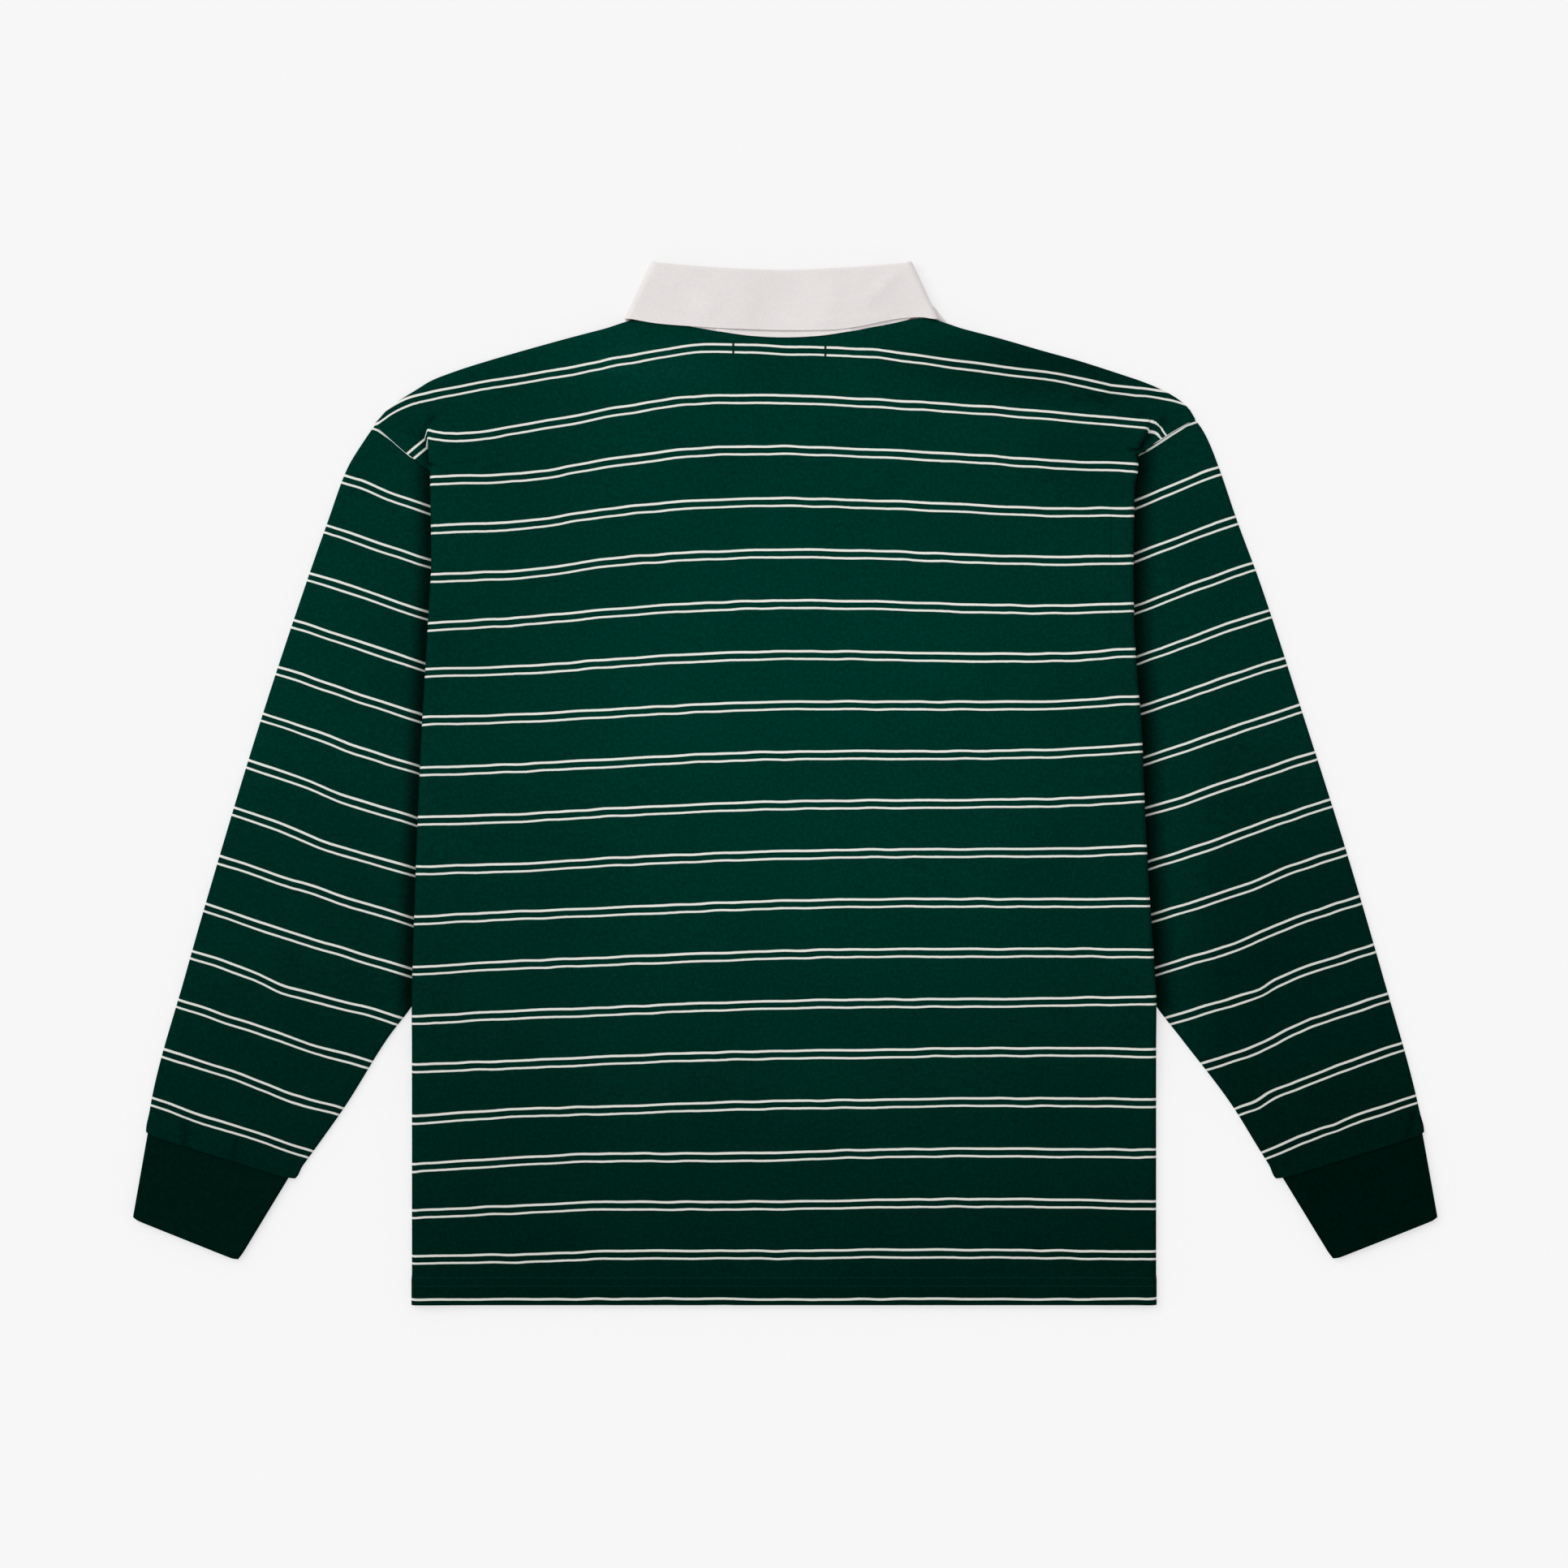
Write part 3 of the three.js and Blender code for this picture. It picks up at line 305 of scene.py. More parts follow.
UNDER_BODY = [under_body(side) for side in SLEEVES.values()]
leaf = FRONT_EDGE + FRONT_FOLD[::-1]
LEAVES = [[(-x, y) for x, y in leaf], leaf]
half_placket = PLACKET_WIDTH / 2
PLACKET_OUTLINE = [
    (BODY_CENTRE - half_placket, PLACKET_TOP), (BODY_CENTRE + half_placket, PLACKET_TOP),
    (BODY_CENTRE + half_placket, PLACKET_BOTTOM), (BODY_CENTRE - half_placket, PLACKET_BOTTOM),
]
NECK_HOLE = BACK_TOP[10:21]

# %% [markdown]
# ## Creases
# Each crease is a soft ridge or trough along a line, with a half width and a height. The ones that
# can be seen are placed where the cloth shows them; the sides that are hidden get similar ones.

# %% Creases of the body and the sleeves
# From x, y to x, y, half width, height (a trough where it is negative)
BODY_FOLDS = [
    (-215, 238, -140, 165, 20, 0.9), (-235, 130, -160, 80, 18, 0.8),
    (-225, -60, -175, -250, 26, 0.8), (170, 262, 262, 252, 12, 0.9),
    (120, 190, 200, 60, 30, 0.7), (60, -120, 215, -210, 32, 0.8),
    (-60, 40, 20, -160, 40, 0.7),
]
BODY_CREASES = [
    (234, 285.6, 307, 284.5, 5, 1.5), (240, 277, 300, 277, 4, -0.7),
    (-262, 276, -285, 279, 5, 0.9), (-268, 268, -290, 262, 4, -0.6),
    (-235, 206, -200, 188, 9, 0.7), (-240, 60, -205, 20, 10, 0.6),
    (228, 150, 190, 118, 9, 0.6), (236, 10, 205, -40, 10, 0.6),
    (-150, -330, -120, -372, 12, 0.5), (90, -336, 120, -374, 11, 0.5),
    (215, -330, 250, -360, 12, 0.6), (-240, -300, -262, -352, 10, 0.6),
    (-30, 322, 20, 318, 10, 0.5), (-110, 300, -60, 262, 16, 0.5),
]
SLEEVE_FOLDS = [
    (-353, -2, -334, -92, 9, 1.5), (-391, -118, -381, -208, 10, 1.4),
    (368, -58, 350, -250, 10, 1.5), (396, -160, 416, -232, 9, 1.1),
    (-330, 190, -345, 120, 9, 0.8), (-372, 60, -352, 20, 8, 0.8),
    (330, 190, 352, 110, 10, 0.8), (376, 40, 352, -10, 8, 0.7),
    (-425, -150, -452, -240, 8, 0.9), (440, -140, 462, -236, 8, 0.8),
]


# Short pleats where a sleeve is gathered into its cuff, and the painted shade in their troughs: the same
# columns
END_PLEATS = [
    (-459, -259, -460, -278, 2.6, -1.3), (-420, -274, -423, -290, 3.0, -1.2),
    (480.5, -252, 476.5, -271, 2.2, -1.5), (-440, -268, -441, -282, 3.0, 0.6),
    (430, -272, 428, -284, 3.0, 0.6),
]


def fold_height(folds, x, y):
    total = np.zeros(np.shape(x))
    for from_x, from_y, to_x, to_y, wide, high in folds:
        gap = gap_to_line(x, y, (from_x, from_y), (to_x, to_y))
        total = total + high * np.exp(-((gap / wide) ** 2))
    return total


def rest_waves(x, y, size):
    """The slight unevenness of cloth that was smoothed out by hand."""
    wave = np.sin(x / 31 + 1.1 * np.sin(y / 83)) * np.sin(y / 47 + 0.7 * np.sin(x / 61))
    fine = np.sin(x / 13 + y / 29) * np.sin(y / 17 - x / 37)
    return size * (0.7 * wave + 0.3 * fine)


print("creases:", len(BODY_FOLDS) + len(BODY_CREASES), "on the body,", len(SLEEVE_FOLDS), "on the sleeves")


# %% Heights of the front and back panels
def front_height(x, y):
    def beside(outlines, near, far):
        gap = np.min([gap_to(outline, x, y) for outline in outlines], axis=0)
        return 1 - smooth(near, far, gap)

    over_sleeve = (OVER_SLEEVE - FLOOR_LAYER) * beside(UNDER_BODY, 2, 20)
    over_collar = (NECK_MIDDLE - STAND_REACH - FLOOR_LAYER) * beside(LEAVES, 9, 34)
    over_placket = (JERSEY + 1.5 * SEAM) * beside([PLACKET_OUTLINE], 4, 14)
    return FLOOR_LAYER + np.maximum(np.maximum(over_sleeve, over_collar), over_placket)


def back_height(x, y):
    rises = []
    for side in SLEEVES.values():
        in_from_edge = side["way"] * (side_edge(side, y) - x)
        below_tip = 1 - smooth(side["tip"][1] - 12, side["tip"][1] + 6, y)
        held = mix(0.3, 1, smooth(-260, -180, y))
        rises.append(np.where(in_from_edge < 0, 0, below_tip * held * (1 - smooth(0, 60, in_from_edge))))
    neck = 1 - smooth(0, 80, gap_to(NECK_HOLE, x, y))
    neck_rise = (NECK_MIDDLE + STAND_REACH - BACK_REST) * neck
    calm = smooth(0, 14, np.min([np.abs(side_edge(s, y) - x) for s in SLEEVES.values()], axis=0))
    folds = fold_height(BODY_FOLDS, x, y) + calm * rest_waves(x, y, 0.28)
    own = BACK_REST + np.maximum(SIDE_RISE * np.maximum(*rises), neck_rise) + folds
    lowest = front_height(x, y) + JERSEY + 4 * SEAM
    return np.maximum(own, lowest) + np.maximum(fold_height(BODY_CREASES, x, y), -0.8)


def cap_height(side, x, y):
    """The bit of shoulder beside the tucked side, down to the armhole seam."""
    shown = share_at_height(side["armhole_line"], side["tucks_under"])
    seam = side["armhole_line"](np.linspace(0, shown, 12))
    gap = np.min([np.hypot(x - sx, y - sy) for sx, sy in seam], axis=0)
    return mix(CAP_EDGE, BACK_REST, smooth(0, 26, gap))


# %% [markdown]
# ## From a grid to a wall of cloth
# Cloth has two faces and a cut edge. The helper takes a grid of points on the middle of the cloth,
# moves a copy out and a copy in along the normals, and closes every open edge with a rim, also
# round a slit where cells are left out. Maps go with it: "knit" counts the stripe repeats,
# "place" holds millimetres, and "tone" holds the painted light level and the painted shade of the folds.

# %% Build a wall of cloth
def border_of(cells, count):
    """The edges that only one cell uses."""
    edges = np.concatenate([cells[:, [k, (k + 1) % 4]] for k in range(4)])
    ordered = np.sort(edges, axis=1)
    keys = ordered[:, 0].astype(np.int64) * count + ordered[:, 1]
    _, first, uses = np.unique(keys, return_index=True, return_counts=True)
    return edges[first[uses == 1]]


def signed_volume(points, faces):
    a, b, c, d = (points[faces[:, k]] for k in range(4))
    return np.sum(a * np.cross(b, c)) / 6 + np.sum(a * np.cross(c, d)) / 6


def cloth_wall(name, grid, thickness, maps, material, ring=False, keep=None):
    rows, columns = grid.shape[:2]
    last = columns if ring else columns - 1
    i, j = np.meshgrid(np.arange(rows - 1), np.arange(last), indexing="ij")
    after = (j + 1) % columns
    cells = np.stack([i * columns + j, i * columns + after,
                      (i + 1) * columns + after, (i + 1) * columns + j], -1)
    cells = (cells if keep is None else cells[keep]).reshape(-1, 4)
    middle = grid.reshape(-1, 3)
    crossed = np.cross(middle[cells[:, 2]] - middle[cells[:, 0]], middle[cells[:, 3]] - middle[cells[:, 1]])
    normal = np.zeros_like(middle)
    for corner in range(4):
        np.add.at(normal, cells[:, corner], crossed)
    normal /= np.maximum(np.linalg.norm(normal, axis=1, keepdims=True), 1e-9)
    half = np.broadcast_to(np.asarray(thickness, float), grid.shape[:2]).reshape(-1, 1) / 2
    points = np.concatenate([middle + normal * half, middle - normal * half]) / 1000
    count = len(middle)
    border = border_of(cells, count)
    rim = np.stack([border[:, 1], border[:, 0], border[:, 0] + count, border[:, 1] + count], -1)
    faces = np.concatenate([cells, cells[:, ::-1] + count, rim])
    if signed_volume(points, faces) < 0:
        faces = faces[:, ::-1]
    used, faces = np.unique(faces, return_inverse=True)
    return finish_mesh(name, points[used], faces.reshape(-1, 4), used % count, maps, material)


def finish_mesh(name, points, faces, source, maps, material):
    mesh = bpy.data.meshes.new(name)
    mesh.from_pydata(points.tolist(), [], faces.tolist())
    corner = np.zeros(len(mesh.loops), np.int32)
    mesh.loops.foreach_get("vertex_index", corner)
    for label, values in maps.items():
        layer = mesh.uv_layers.new(name=label)
        flat = values.reshape(-1, 2)[source][corner]
        layer.data.foreach_set("uv", flat.astype(np.float32).ravel())
    mesh.shade_smooth()
    mesh.set_sharp_from_angle(angle=math.radians(55))
    mesh.materials.append(material)
    piece = bpy.data.objects.new(name, mesh)
    bpy.context.scene.collection.objects.link(piece)
    area = sum(p.area for p in mesh.polygons) / 2
    print("%s: %d faces, cloth %.4f square metres" % (name, len(mesh.polygons), area))
    return piece


# %% [markdown]
# ## Stripes as a map
# The stripes are knitted in, so they follow the cloth wherever it is pulled. Instead of painting
# them, each point of the cloth gets the number of stripe repeats from the shoulder. A table says
# at which height each pair crosses a few upright lines; between them the count runs smoothly.

# %% Painted light and shade
# Painted light and shade in soft spots on the whole shirt: centre x, y, half width, half height, change of
# the painted light level
PAINTED_LIGHT_SPOTS = [
    (-112, 322, 105, 38, 0.20), (215, 322, 190, 46, -0.42), (-40, 90, 260, 170, 0.05),
    (150, 130, 110, 120, 0.06), (0, -392, 300, 24, -0.18), (225, 250, 70, 48, -0.13),
    (0, 322, 60, 26, -0.10),
]
# Painted shade in the small dimples beside the seams and creases: the same columns
DIMPLES = [
    (-270, 277.5, 8, 4.5, -0.55), (289, 278, 5, 9, -0.5), (246, 295.5, 36, 5.5, -0.45),
    (268, 283, 16, 4, -0.35), (-283, 268, 10, 5, -0.25),
]


# Painted light, falling off from the chest down: y, level
PAINTED_LIGHT_DOWN = [(-398, 0.41), (-332, 0.51), (-208, 0.715), (-130, 0.835), (40, 1.0)]


def spots_at(spots, x, y):
    total = np.ones(np.shape(x))
    for centre_x, centre_y, wide, high, change in spots:
        far = np.hypot((x - centre_x) / wide, (y - centre_y) / high)
        total = total + change * (1 - smooth(0, 1, far))
    return total


def painted_light_level(x, y):
    """Painted light: lighter at the shoulders, darker towards the hem, on the right and at the right sleeve's
    end.
    """
    down = np.interp(y, column(PAINTED_LIGHT_DOWN, 0), column(PAINTED_LIGHT_DOWN, 1))
    left = mix(1, 0.89, smooth(-90, -230, x))
    right = mix(1, 0.82, smooth(40, 300, x)) * mix(1, 0.95, smooth(290, 340, x))
    left_sleeve = 1 - 0.10 * smooth(60, -60, y) * smooth(-285, -345, x)
    right_sleeve = 1 - 0.29 * smooth(130, -130, y) * smooth(285, 345, x)
    return down * left * right * left_sleeve * right_sleeve * spots_at(PAINTED_LIGHT_SPOTS, x, y)


# Painted shade: in the dimples, and on the shoulder piece beside each crease
def body_shade(x, y):
    shade = spots_at(DIMPLES, x, y)
    for side in SLEEVES.values():
        out = side["way"] * (x - side_edge(side, y))
        below_tip = 1 - smooth(side["tip"][1] - 16, side["tip"][1], y)
        on_cap = (out > -0.02) * (1 - smooth(0, 9, out)) * below_tip
        shade = shade * (1 - 0.68 * on_cap)
    return shade


def sleeve_shade(side, x, y):
    """Painted shade: the soft dark band on a sleeve beside the body that lies over it, and in the pleats at
    its end.
    """
    clear = side["way"] * (x - side_edge(side, y))
    inside = smooth(SLEEVE_LEAVES_Y - 30, SLEEVE_LEAVES_Y + 10, y)
    band = 1 - side["band"][1] * inside * (1 - smooth(1, side["band"][0], clear))
    return band * (1 + 0.25 * np.minimum(0, fold_height(END_PLEATS, x, y)))


# The painted light level at a shoulder and at the hem
print("dye level: shoulder %.2f, hem %.2f" % (painted_light_level(-100.0, 320.0), painted_light_level(0.0, -390.0)))

# %% Where the stripe pairs cross the body
REPEAT = 38.4
PAIR_COLUMNS = [-268.5, -203.3, -128.8, -54.3, -0.9, 57.4, 131.9, 206.5, 262.3]
# pair: its height at each of those columns
BODY_PAIRS = {
    3: (234.1, 236.9, 248.7, 256.8, 257.6, 255.4, 251.9, 246.8, 244.1),
    4: (196.8, 200.3, 210.7, 217.0, 217.9, 216.5, 213.6, 210.2, 210.2),
    5: (159.6, 162.7, 172.4, 177.3, 178.5, 178.0, 175.1, 173.0, 173.9),
    6: (122.6, 126.7, 133.5, 138.2, 139.7, 139.4, 136.9, 135.7, 137.5),
    7: (87.5, 89.4, 95.0, 99.3, 100.9, 100.6, 99.0, 99.1, 102.5),
    8: (50.7, 52.5, 56.8, 60.6, 62.4, 62.4, 62.2, 62.8, 66.1),
    9: (12.0, 14.6, 18.6, 22.4, 24.0, 24.4, 24.5, 25.8, 29.0),
    10: (-25.8, -23.6, -19.2, -15.8, -14.0, -13.3, -12.8, -11.9, -9.1),
    11: (-63.4, -61.5, -57.1, -53.8, -52.1, -50.9, -50.5, -50.3, -48.4),
    12: (-101.3, -98.1, -95.2, -91.8, -90.0, -88.8, -88.6, -88.8, -88.2),
    13: (-139.7, -136.0, -133.1, -130.0, -128.3, -127.1, -127.0, -126.7, -127.1),
    14: (-177.5, -174.2, -171.3, -168.0, -166.6, -165.6, -165.2, -164.5, -163.5),
    15: (-214.5, -212.3, -208.7, -206.1, -204.9, -204.3, -203.0, -202.7, -203.2),
    16: (-253.6, -249.3, -247.1, -244.6, -243.1, -242.5, -241.2, -241.2, -241.6),
    17: (-290.5, -286.3, -283.4, -283.4, -282.5, -280.7, -279.7, -280.0, -280.3),
    18: (-326.2, -323.2, -320.4, -320.4, -320.0, -319.2, -318.2, -318.5, -319.8),
    19: (-361.4, -360.7, -358.0, -357.7, -358.0, -357.1, -357.0, -357.7, -358.3),
    20: (-394.8, -394.9, -394.6, -394.3, -395.2, -394.8, -394.4, -395.0, -394.3),
}
# The first two pairs bend over the shoulders: x, first pair, second pair
SHOULDER_PAIRS = [
    (-312.6, 280.3, 269.9), (-295.2, 291.8, 269.9), (-284.7, 295.6, 269.9), (-273.0, 298.9, 269.9),
    (-268.5, 299.9, 268.7), (-255.0, 302.6, 267.2), (-241.0, 305.1, 267.6), (-228.2, 307.4, 269.5),
    (-203.3, 311.5, 273.8), (-166.1, 317.7, 280.0), (-128.8, 325.2, 287.3), (-54.3, 335.5, 296.4),
    (-0.9, 333.8, 296.5), (57.4, 332.0, 293.9), (131.9, 322.9, 289.6), (206.5, 313.5, 283.8),
    (262.3, 302.7, 278.4), (279.7, 301.3, 277.2), (292.8, 299.5, 276.6), (308.9, 294.0, 276.6),
]
# On the shoulder piece beyond each crease the second pair lies lower and steeper: x, y of the pair
CAP_SECOND = {
    "left": [(-312.6, 233.0), (-289.1, 252.5), (-273.9, 265.2), (-268.0, 270.0)],
    "right": [(279.0, 277.4), (283.1, 276.7), (292.0, 265.9), (309.0, 245.0)],
}


def spaced(past, gap):
    """The share of a repeat at a distance past a pair, with the pair's own lines never squeezed."""
    between = 12 / REPEAT + (past - 12) * (1 - 17 / REPEAT) / np.maximum(gap - 17, 1)
    near_next = 1 - (gap - past) / REPEAT
    return np.where(past < 12, past / REPEAT, np.where(past > gap - 5, near_next, between))


def count_between(value, levels, counts):
    """The running count of repeats at a value, from the rising levels of some counted pairs."""
    found = counts[0] + (value - levels[0]) / REPEAT
    for k in range(len(counts) - 1):
        past, gap = value - levels[k], levels[k + 1] - levels[k]
        repeats = counts[k + 1] - counts[k]
        more = spaced(past, gap) if repeats == 1 else past / gap * repeats
        found = np.where(past >= 0, counts[k] + more, found)
    return found


def carried_on(places, values, reach):
    """A table with one more place at each end, where its lines run straight on."""
    first = values[0] - (values[1] - values[0]) * reach / (places[1] - places[0])
    last = values[-1] + (values[-1] - values[-2]) * reach / (places[-1] - places[-2])
    return table_line([places[0] - reach] + places + [places[-1] + reach], np.vstack([first, values, last]))


shoulder_line = table_line(column(SHOULDER_PAIRS, 0), [row[1:] for row in SHOULDER_PAIRS])
pair_line = carried_on(PAIR_COLUMNS, np.array(list(BODY_PAIRS.values())).T, 26)


def slight_pull(x, y):
    """Millimetres by which a stripe strays from its line where the knit is pulled a little."""
    return 0.34 * np.sin(x / 7.3 + 2.1 * np.sin(x / 31 + y / 19)) * np.sin(x / 23 + y / 11)


def body_repeats(x, y):
    levels = np.moveaxis(np.concatenate([shoulder_line(x), pair_line(x)], -1), -1, 0).copy()
    at = y + slight_pull(x, y)
    for name, side in SLEEVES.items():
        second = table_line(*zip(*CAP_SECOND[name]))(x)
        on_cap = (side["way"] * (x - side_edge(side, y)) > -0.02) & (y > side["tucks_under"] - 8)
        levels[1] = np.where(on_cap, second, levels[1])
        levels[2] = np.where(on_cap, second - REPEAT, levels[2])
        at = np.where(on_cap & (at < second), second - (second - at) / 1.4, at)
    return count_between(-at, -levels, [1, 2] + list(BODY_PAIRS))


def body_maps(grid):
    x, y = grid[..., 0], grid[..., 1]
    knit = np.stack([x / REPEAT, body_repeats(x, y)], -1)
    tone = np.stack([painted_light_level(x, y), body_shade(x, y)], -1)
    return {"knit": knit, "place": grid[..., :2].copy(), "tone": tone}


print("repeats at the hem's middle: %.2f" % body_repeats(np.array(0.0), np.array(HEM_Y)))

# %% Where the stripe pairs cross the sleeves
# Distances along each sleeve from a point on its outer edge, for each counted pair, at lines that
# run 15, 45, 75, 105 and 135 mm in from that edge
SLEEVE_LINES = [15, 45, 75, 105, 135]
SLEEVE_PAIRS = {
    "left": {
        "from": (-341.2, 226.6), "along": (-0.29316, -0.95606), "across": (0.95606, -0.29316),
        "pairs": {
            0: (-56.2, -47.3, -45.5, -44, -43), 1: (-10.0, -7.0, -6.2, -5.6, -5),
            2: (31.0, 32.0, 32.7, 33, 33), 3: (69.5, 70.2, 71.1, 71.6, 72),
            5: (145.4, 146.5, 147.3, 147.8, 148), 7: (220.4, 221.9, 224.6, 224.5, 224.5),
            8: (258.4, 260.1, 263.2, 262.6, 261.8), 9: (296.7, 298.1, 297.8, 299.0, 298.7),
            10: (334.9, 336.1, 336.8, 336.5, 336.6), 11: (372.5, 373.7, 376.8, 376.3, 374.4),
            12: (411.0, 412.1, 412.4, 414.1, 413.2), 13: (450.7, 450.8, 452.4, 455.2, 453.9),
            14: (489.1, 490.4, 490.4, 491.4, 492.4),
        },
    },
    "right": {
        "from": (336.8, 226.6), "along": (0.29889, -0.95429), "across": (-0.95429, -0.29889),
        "pairs": {
            0: (-59.8, -51.5, -46.5, -44, -43), 1: (-16.0, -12.6, -10.6, -10, -9),
            2: (24.1, 25.9, 27.8, 29, 30), 3: (61.9, 63.1, 65.4, 67, 68),
            5: (138.1, 138.6, 139.7, 140.7, 141.5), 7: (214.1, 214.9, 215.4, 216.5, 216.2),
            8: (252.2, 253.1, 254.7, 255.9, 256.1), 9: (290.6, 291.6, 294.6, 295.3, 295.4),
            10: (329.3, 330.0, 332.5, 335.3, 334.9), 11: (368.1, 368.4, 370.5, 374.4, 374.0),
            12: (407.1, 407.7, 409.8, 414.4, 415.7), 13: (446.5, 447.3, 449.7, 451.7, 456.6),
            14: (488.1, 488.4, 489.9, 492.5, 495.0),
        },
    },
}


# Small kinks in the stripes of a crumpled sleeve: x, y, half width, shift along the sleeve
SLEEVE_KINKS = {
    "left": [(-352, -60, 9, 0.8), (-386, -165, 10, -0.9), (-372, -240, 9, 0.7)],
    "right": [(363, -156, 8, -1.5), (402, -182, 8, 1.1), (361, -247, 9, -1.9), (392, -262, 9, 1.1),
              (436, -150, 10, 0.6), (420, -262, 7, -0.8)],
}


def sleeve_maps(name, grid):
    layout = SLEEVE_PAIRS[name]
    x, y = grid[..., 0], grid[..., 1]
    offset = grid[..., :2] - np.array(layout["from"])
    along = offset @ np.array(layout["along"]) + slight_pull(y, x)
    for kink_x, kink_y, wide, shift in SLEEVE_KINKS[name]:
        along = along + shift * np.exp(-((x - kink_x) ** 2 + (y - kink_y) ** 2) / wide ** 2)
    across = offset @ np.array(layout["across"])
    line = table_line(SLEEVE_LINES, np.array(list(layout["pairs"].values())).T)
    levels = np.moveaxis(line(across), -1, 0)
    repeats = count_between(along, levels, list(layout["pairs"]))
    knit = np.stack([across / REPEAT, repeats], -1)
    tone = np.stack([painted_light_level(x, y), sleeve_shade(SLEEVES[name], x, y)], -1)
    return {"knit": knit, "place": grid[..., :2].copy(), "tone": tone}


# %% [markdown]
# ## Finishes
# Every effect that comes back in more than one finish is a small node group: stripes, knit loops,
# mottling, a row of stitches. The groups give masks and heights only; each finish keeps its own
# shader, because its roughness and sheen are the same all over.

# %% Node helpers
def put(tree, kind, **settings):
    node = tree.nodes.new(kind)
    for label, value in settings.items():
        setattr(node, label, value)
    return node


def feed(tree, socket, value):
    if isinstance(value, bpy.types.NodeSocket):
        tree.links.new(value, socket)
    else:
        socket.default_value = value


def reckon(tree, operation, *values):
    node = put(tree, "ShaderNodeMath", operation=operation)
    for socket, value in zip(node.inputs, values):
        feed(tree, socket, value)
    return node.outputs[0]


def ease(tree, value, low, high, to_low=0.0, to_high=1.0, kind="SMOOTHSTEP"):
    node = put(tree, "ShaderNodeMapRange", interpolation_type=kind)
    for label, given in zip(("Value", "From Min", "From Max", "To Min", "To Max"),
                            (value, low, high, to_low, to_high)):
        feed(tree, node.inputs[label], given)
    return node.outputs[0]


def blend_colours(tree, share, one, two, kind="MIX"):
    node = put(tree, "ShaderNodeMix", data_type="RGBA", blend_type=kind)
    feed(tree, node.inputs[0], share)
    feed(tree, node.inputs[6], one)
    feed(tree, node.inputs[7], two)
    return node.outputs[2]


def new_group(name, inputs, outputs):
    tree = bpy.data.node_groups.new(name, "ShaderNodeTree")
    for label, value in inputs.items():
        kind = "NodeSocketVector" if isinstance(value, tuple) else "NodeSocketFloat"
        tree.interface.new_socket(name=label, in_out="INPUT", socket_type=kind).default_value = value
    for label in outputs:
        tree.interface.new_socket(name=label, in_out="OUTPUT", socket_type="NodeSocketFloat")
    return tree, put(tree, "NodeGroupInput").outputs, put(tree, "NodeGroupOutput").inputs


def use_group(tree, group, **inputs):
    node = put(tree, "ShaderNodeGroup", node_tree=group)
    for label, value in inputs.items():
        feed(tree, node.inputs[label.replace("_", " ")], value)
    return node.outputs


BAR_PLACES = (-39.7, 30.7)

# %% Group: pairs of thin stripes
stripe_group, given, out = new_group(
    "stripe_pairs", {"Repeat": 0.0, "Second": 0.151, "Half line": 0.0218, "Soft": 0.006}, ["Mask"])
first = reckon(stripe_group, "PINGPONG", given["Repeat"], 0.5)
shifted = reckon(stripe_group, "SUBTRACT", given["Repeat"], given["Second"])
second = reckon(stripe_group, "PINGPONG", shifted, 0.5)
nearest = reckon(stripe_group, "MINIMUM", first, second)
inner_line = reckon(stripe_group, "SUBTRACT", given["Half line"], given["Soft"])
outer_line = reckon(stripe_group, "ADD", given["Half line"], given["Soft"])
feed(stripe_group, out["Mask"], ease(stripe_group, nearest, inner_line, outer_line, 1.0, 0.0))

# %% Group: knit loops
# Upright columns of loops, each row of loops bent into a shallow v
knit_group, given, out = new_group(
    "knit_loops", {"Across": 0.0, "Along": 0.0, "Wales": 28.0, "Courses": 36.0}, ["Height", "Shade"])
wales = reckon(knit_group, "MULTIPLY", given["Across"], given["Wales"])
courses = reckon(knit_group, "MULTIPLY", given["Along"], given["Courses"])
leg = reckon(knit_group, "PINGPONG", wales, 0.5)
slanted = reckon(knit_group, "ADD", courses, leg)
bump = reckon(knit_group, "PINGPONG", slanted, 0.5)
round_leg = ease(knit_group, leg, 0.0, 0.25)
height = reckon(knit_group, "MULTIPLY", ease(knit_group, bump, 0.0, 0.35), round_leg)
feed(knit_group, out["Height"], height)
feed(knit_group, out["Shade"], ease(knit_group, height, 0.0, 1.0, 0.82, 1.06))

# %% Group: mottling
mottle_group, given, out = new_group(
    "mottle", {"Where": (0.0, 0.0, 0.0), "Size": 20.0, "Low": 0.9, "High": 1.1}, ["Shade"])
noise = put(mottle_group, "ShaderNodeTexNoise")
noise.inputs["Detail"].default_value = 4
noise.inputs["Roughness"].default_value = 0.6
feed(mottle_group, noise.inputs["Vector"], given["Where"])
feed(mottle_group, noise.inputs["Scale"], given["Size"])
node = put(mottle_group, "ShaderNodeMapRange")
feed(mottle_group, node.inputs["Value"], noise.outputs[0])
feed(mottle_group, node.inputs["From Min"], 0.3)
feed(mottle_group, node.inputs["From Max"], 0.7)
feed(mottle_group, node.inputs["To Min"], given["Low"])
feed(mottle_group, node.inputs["To Max"], given["High"])
feed(mottle_group, out["Shade"], node.outputs[0])

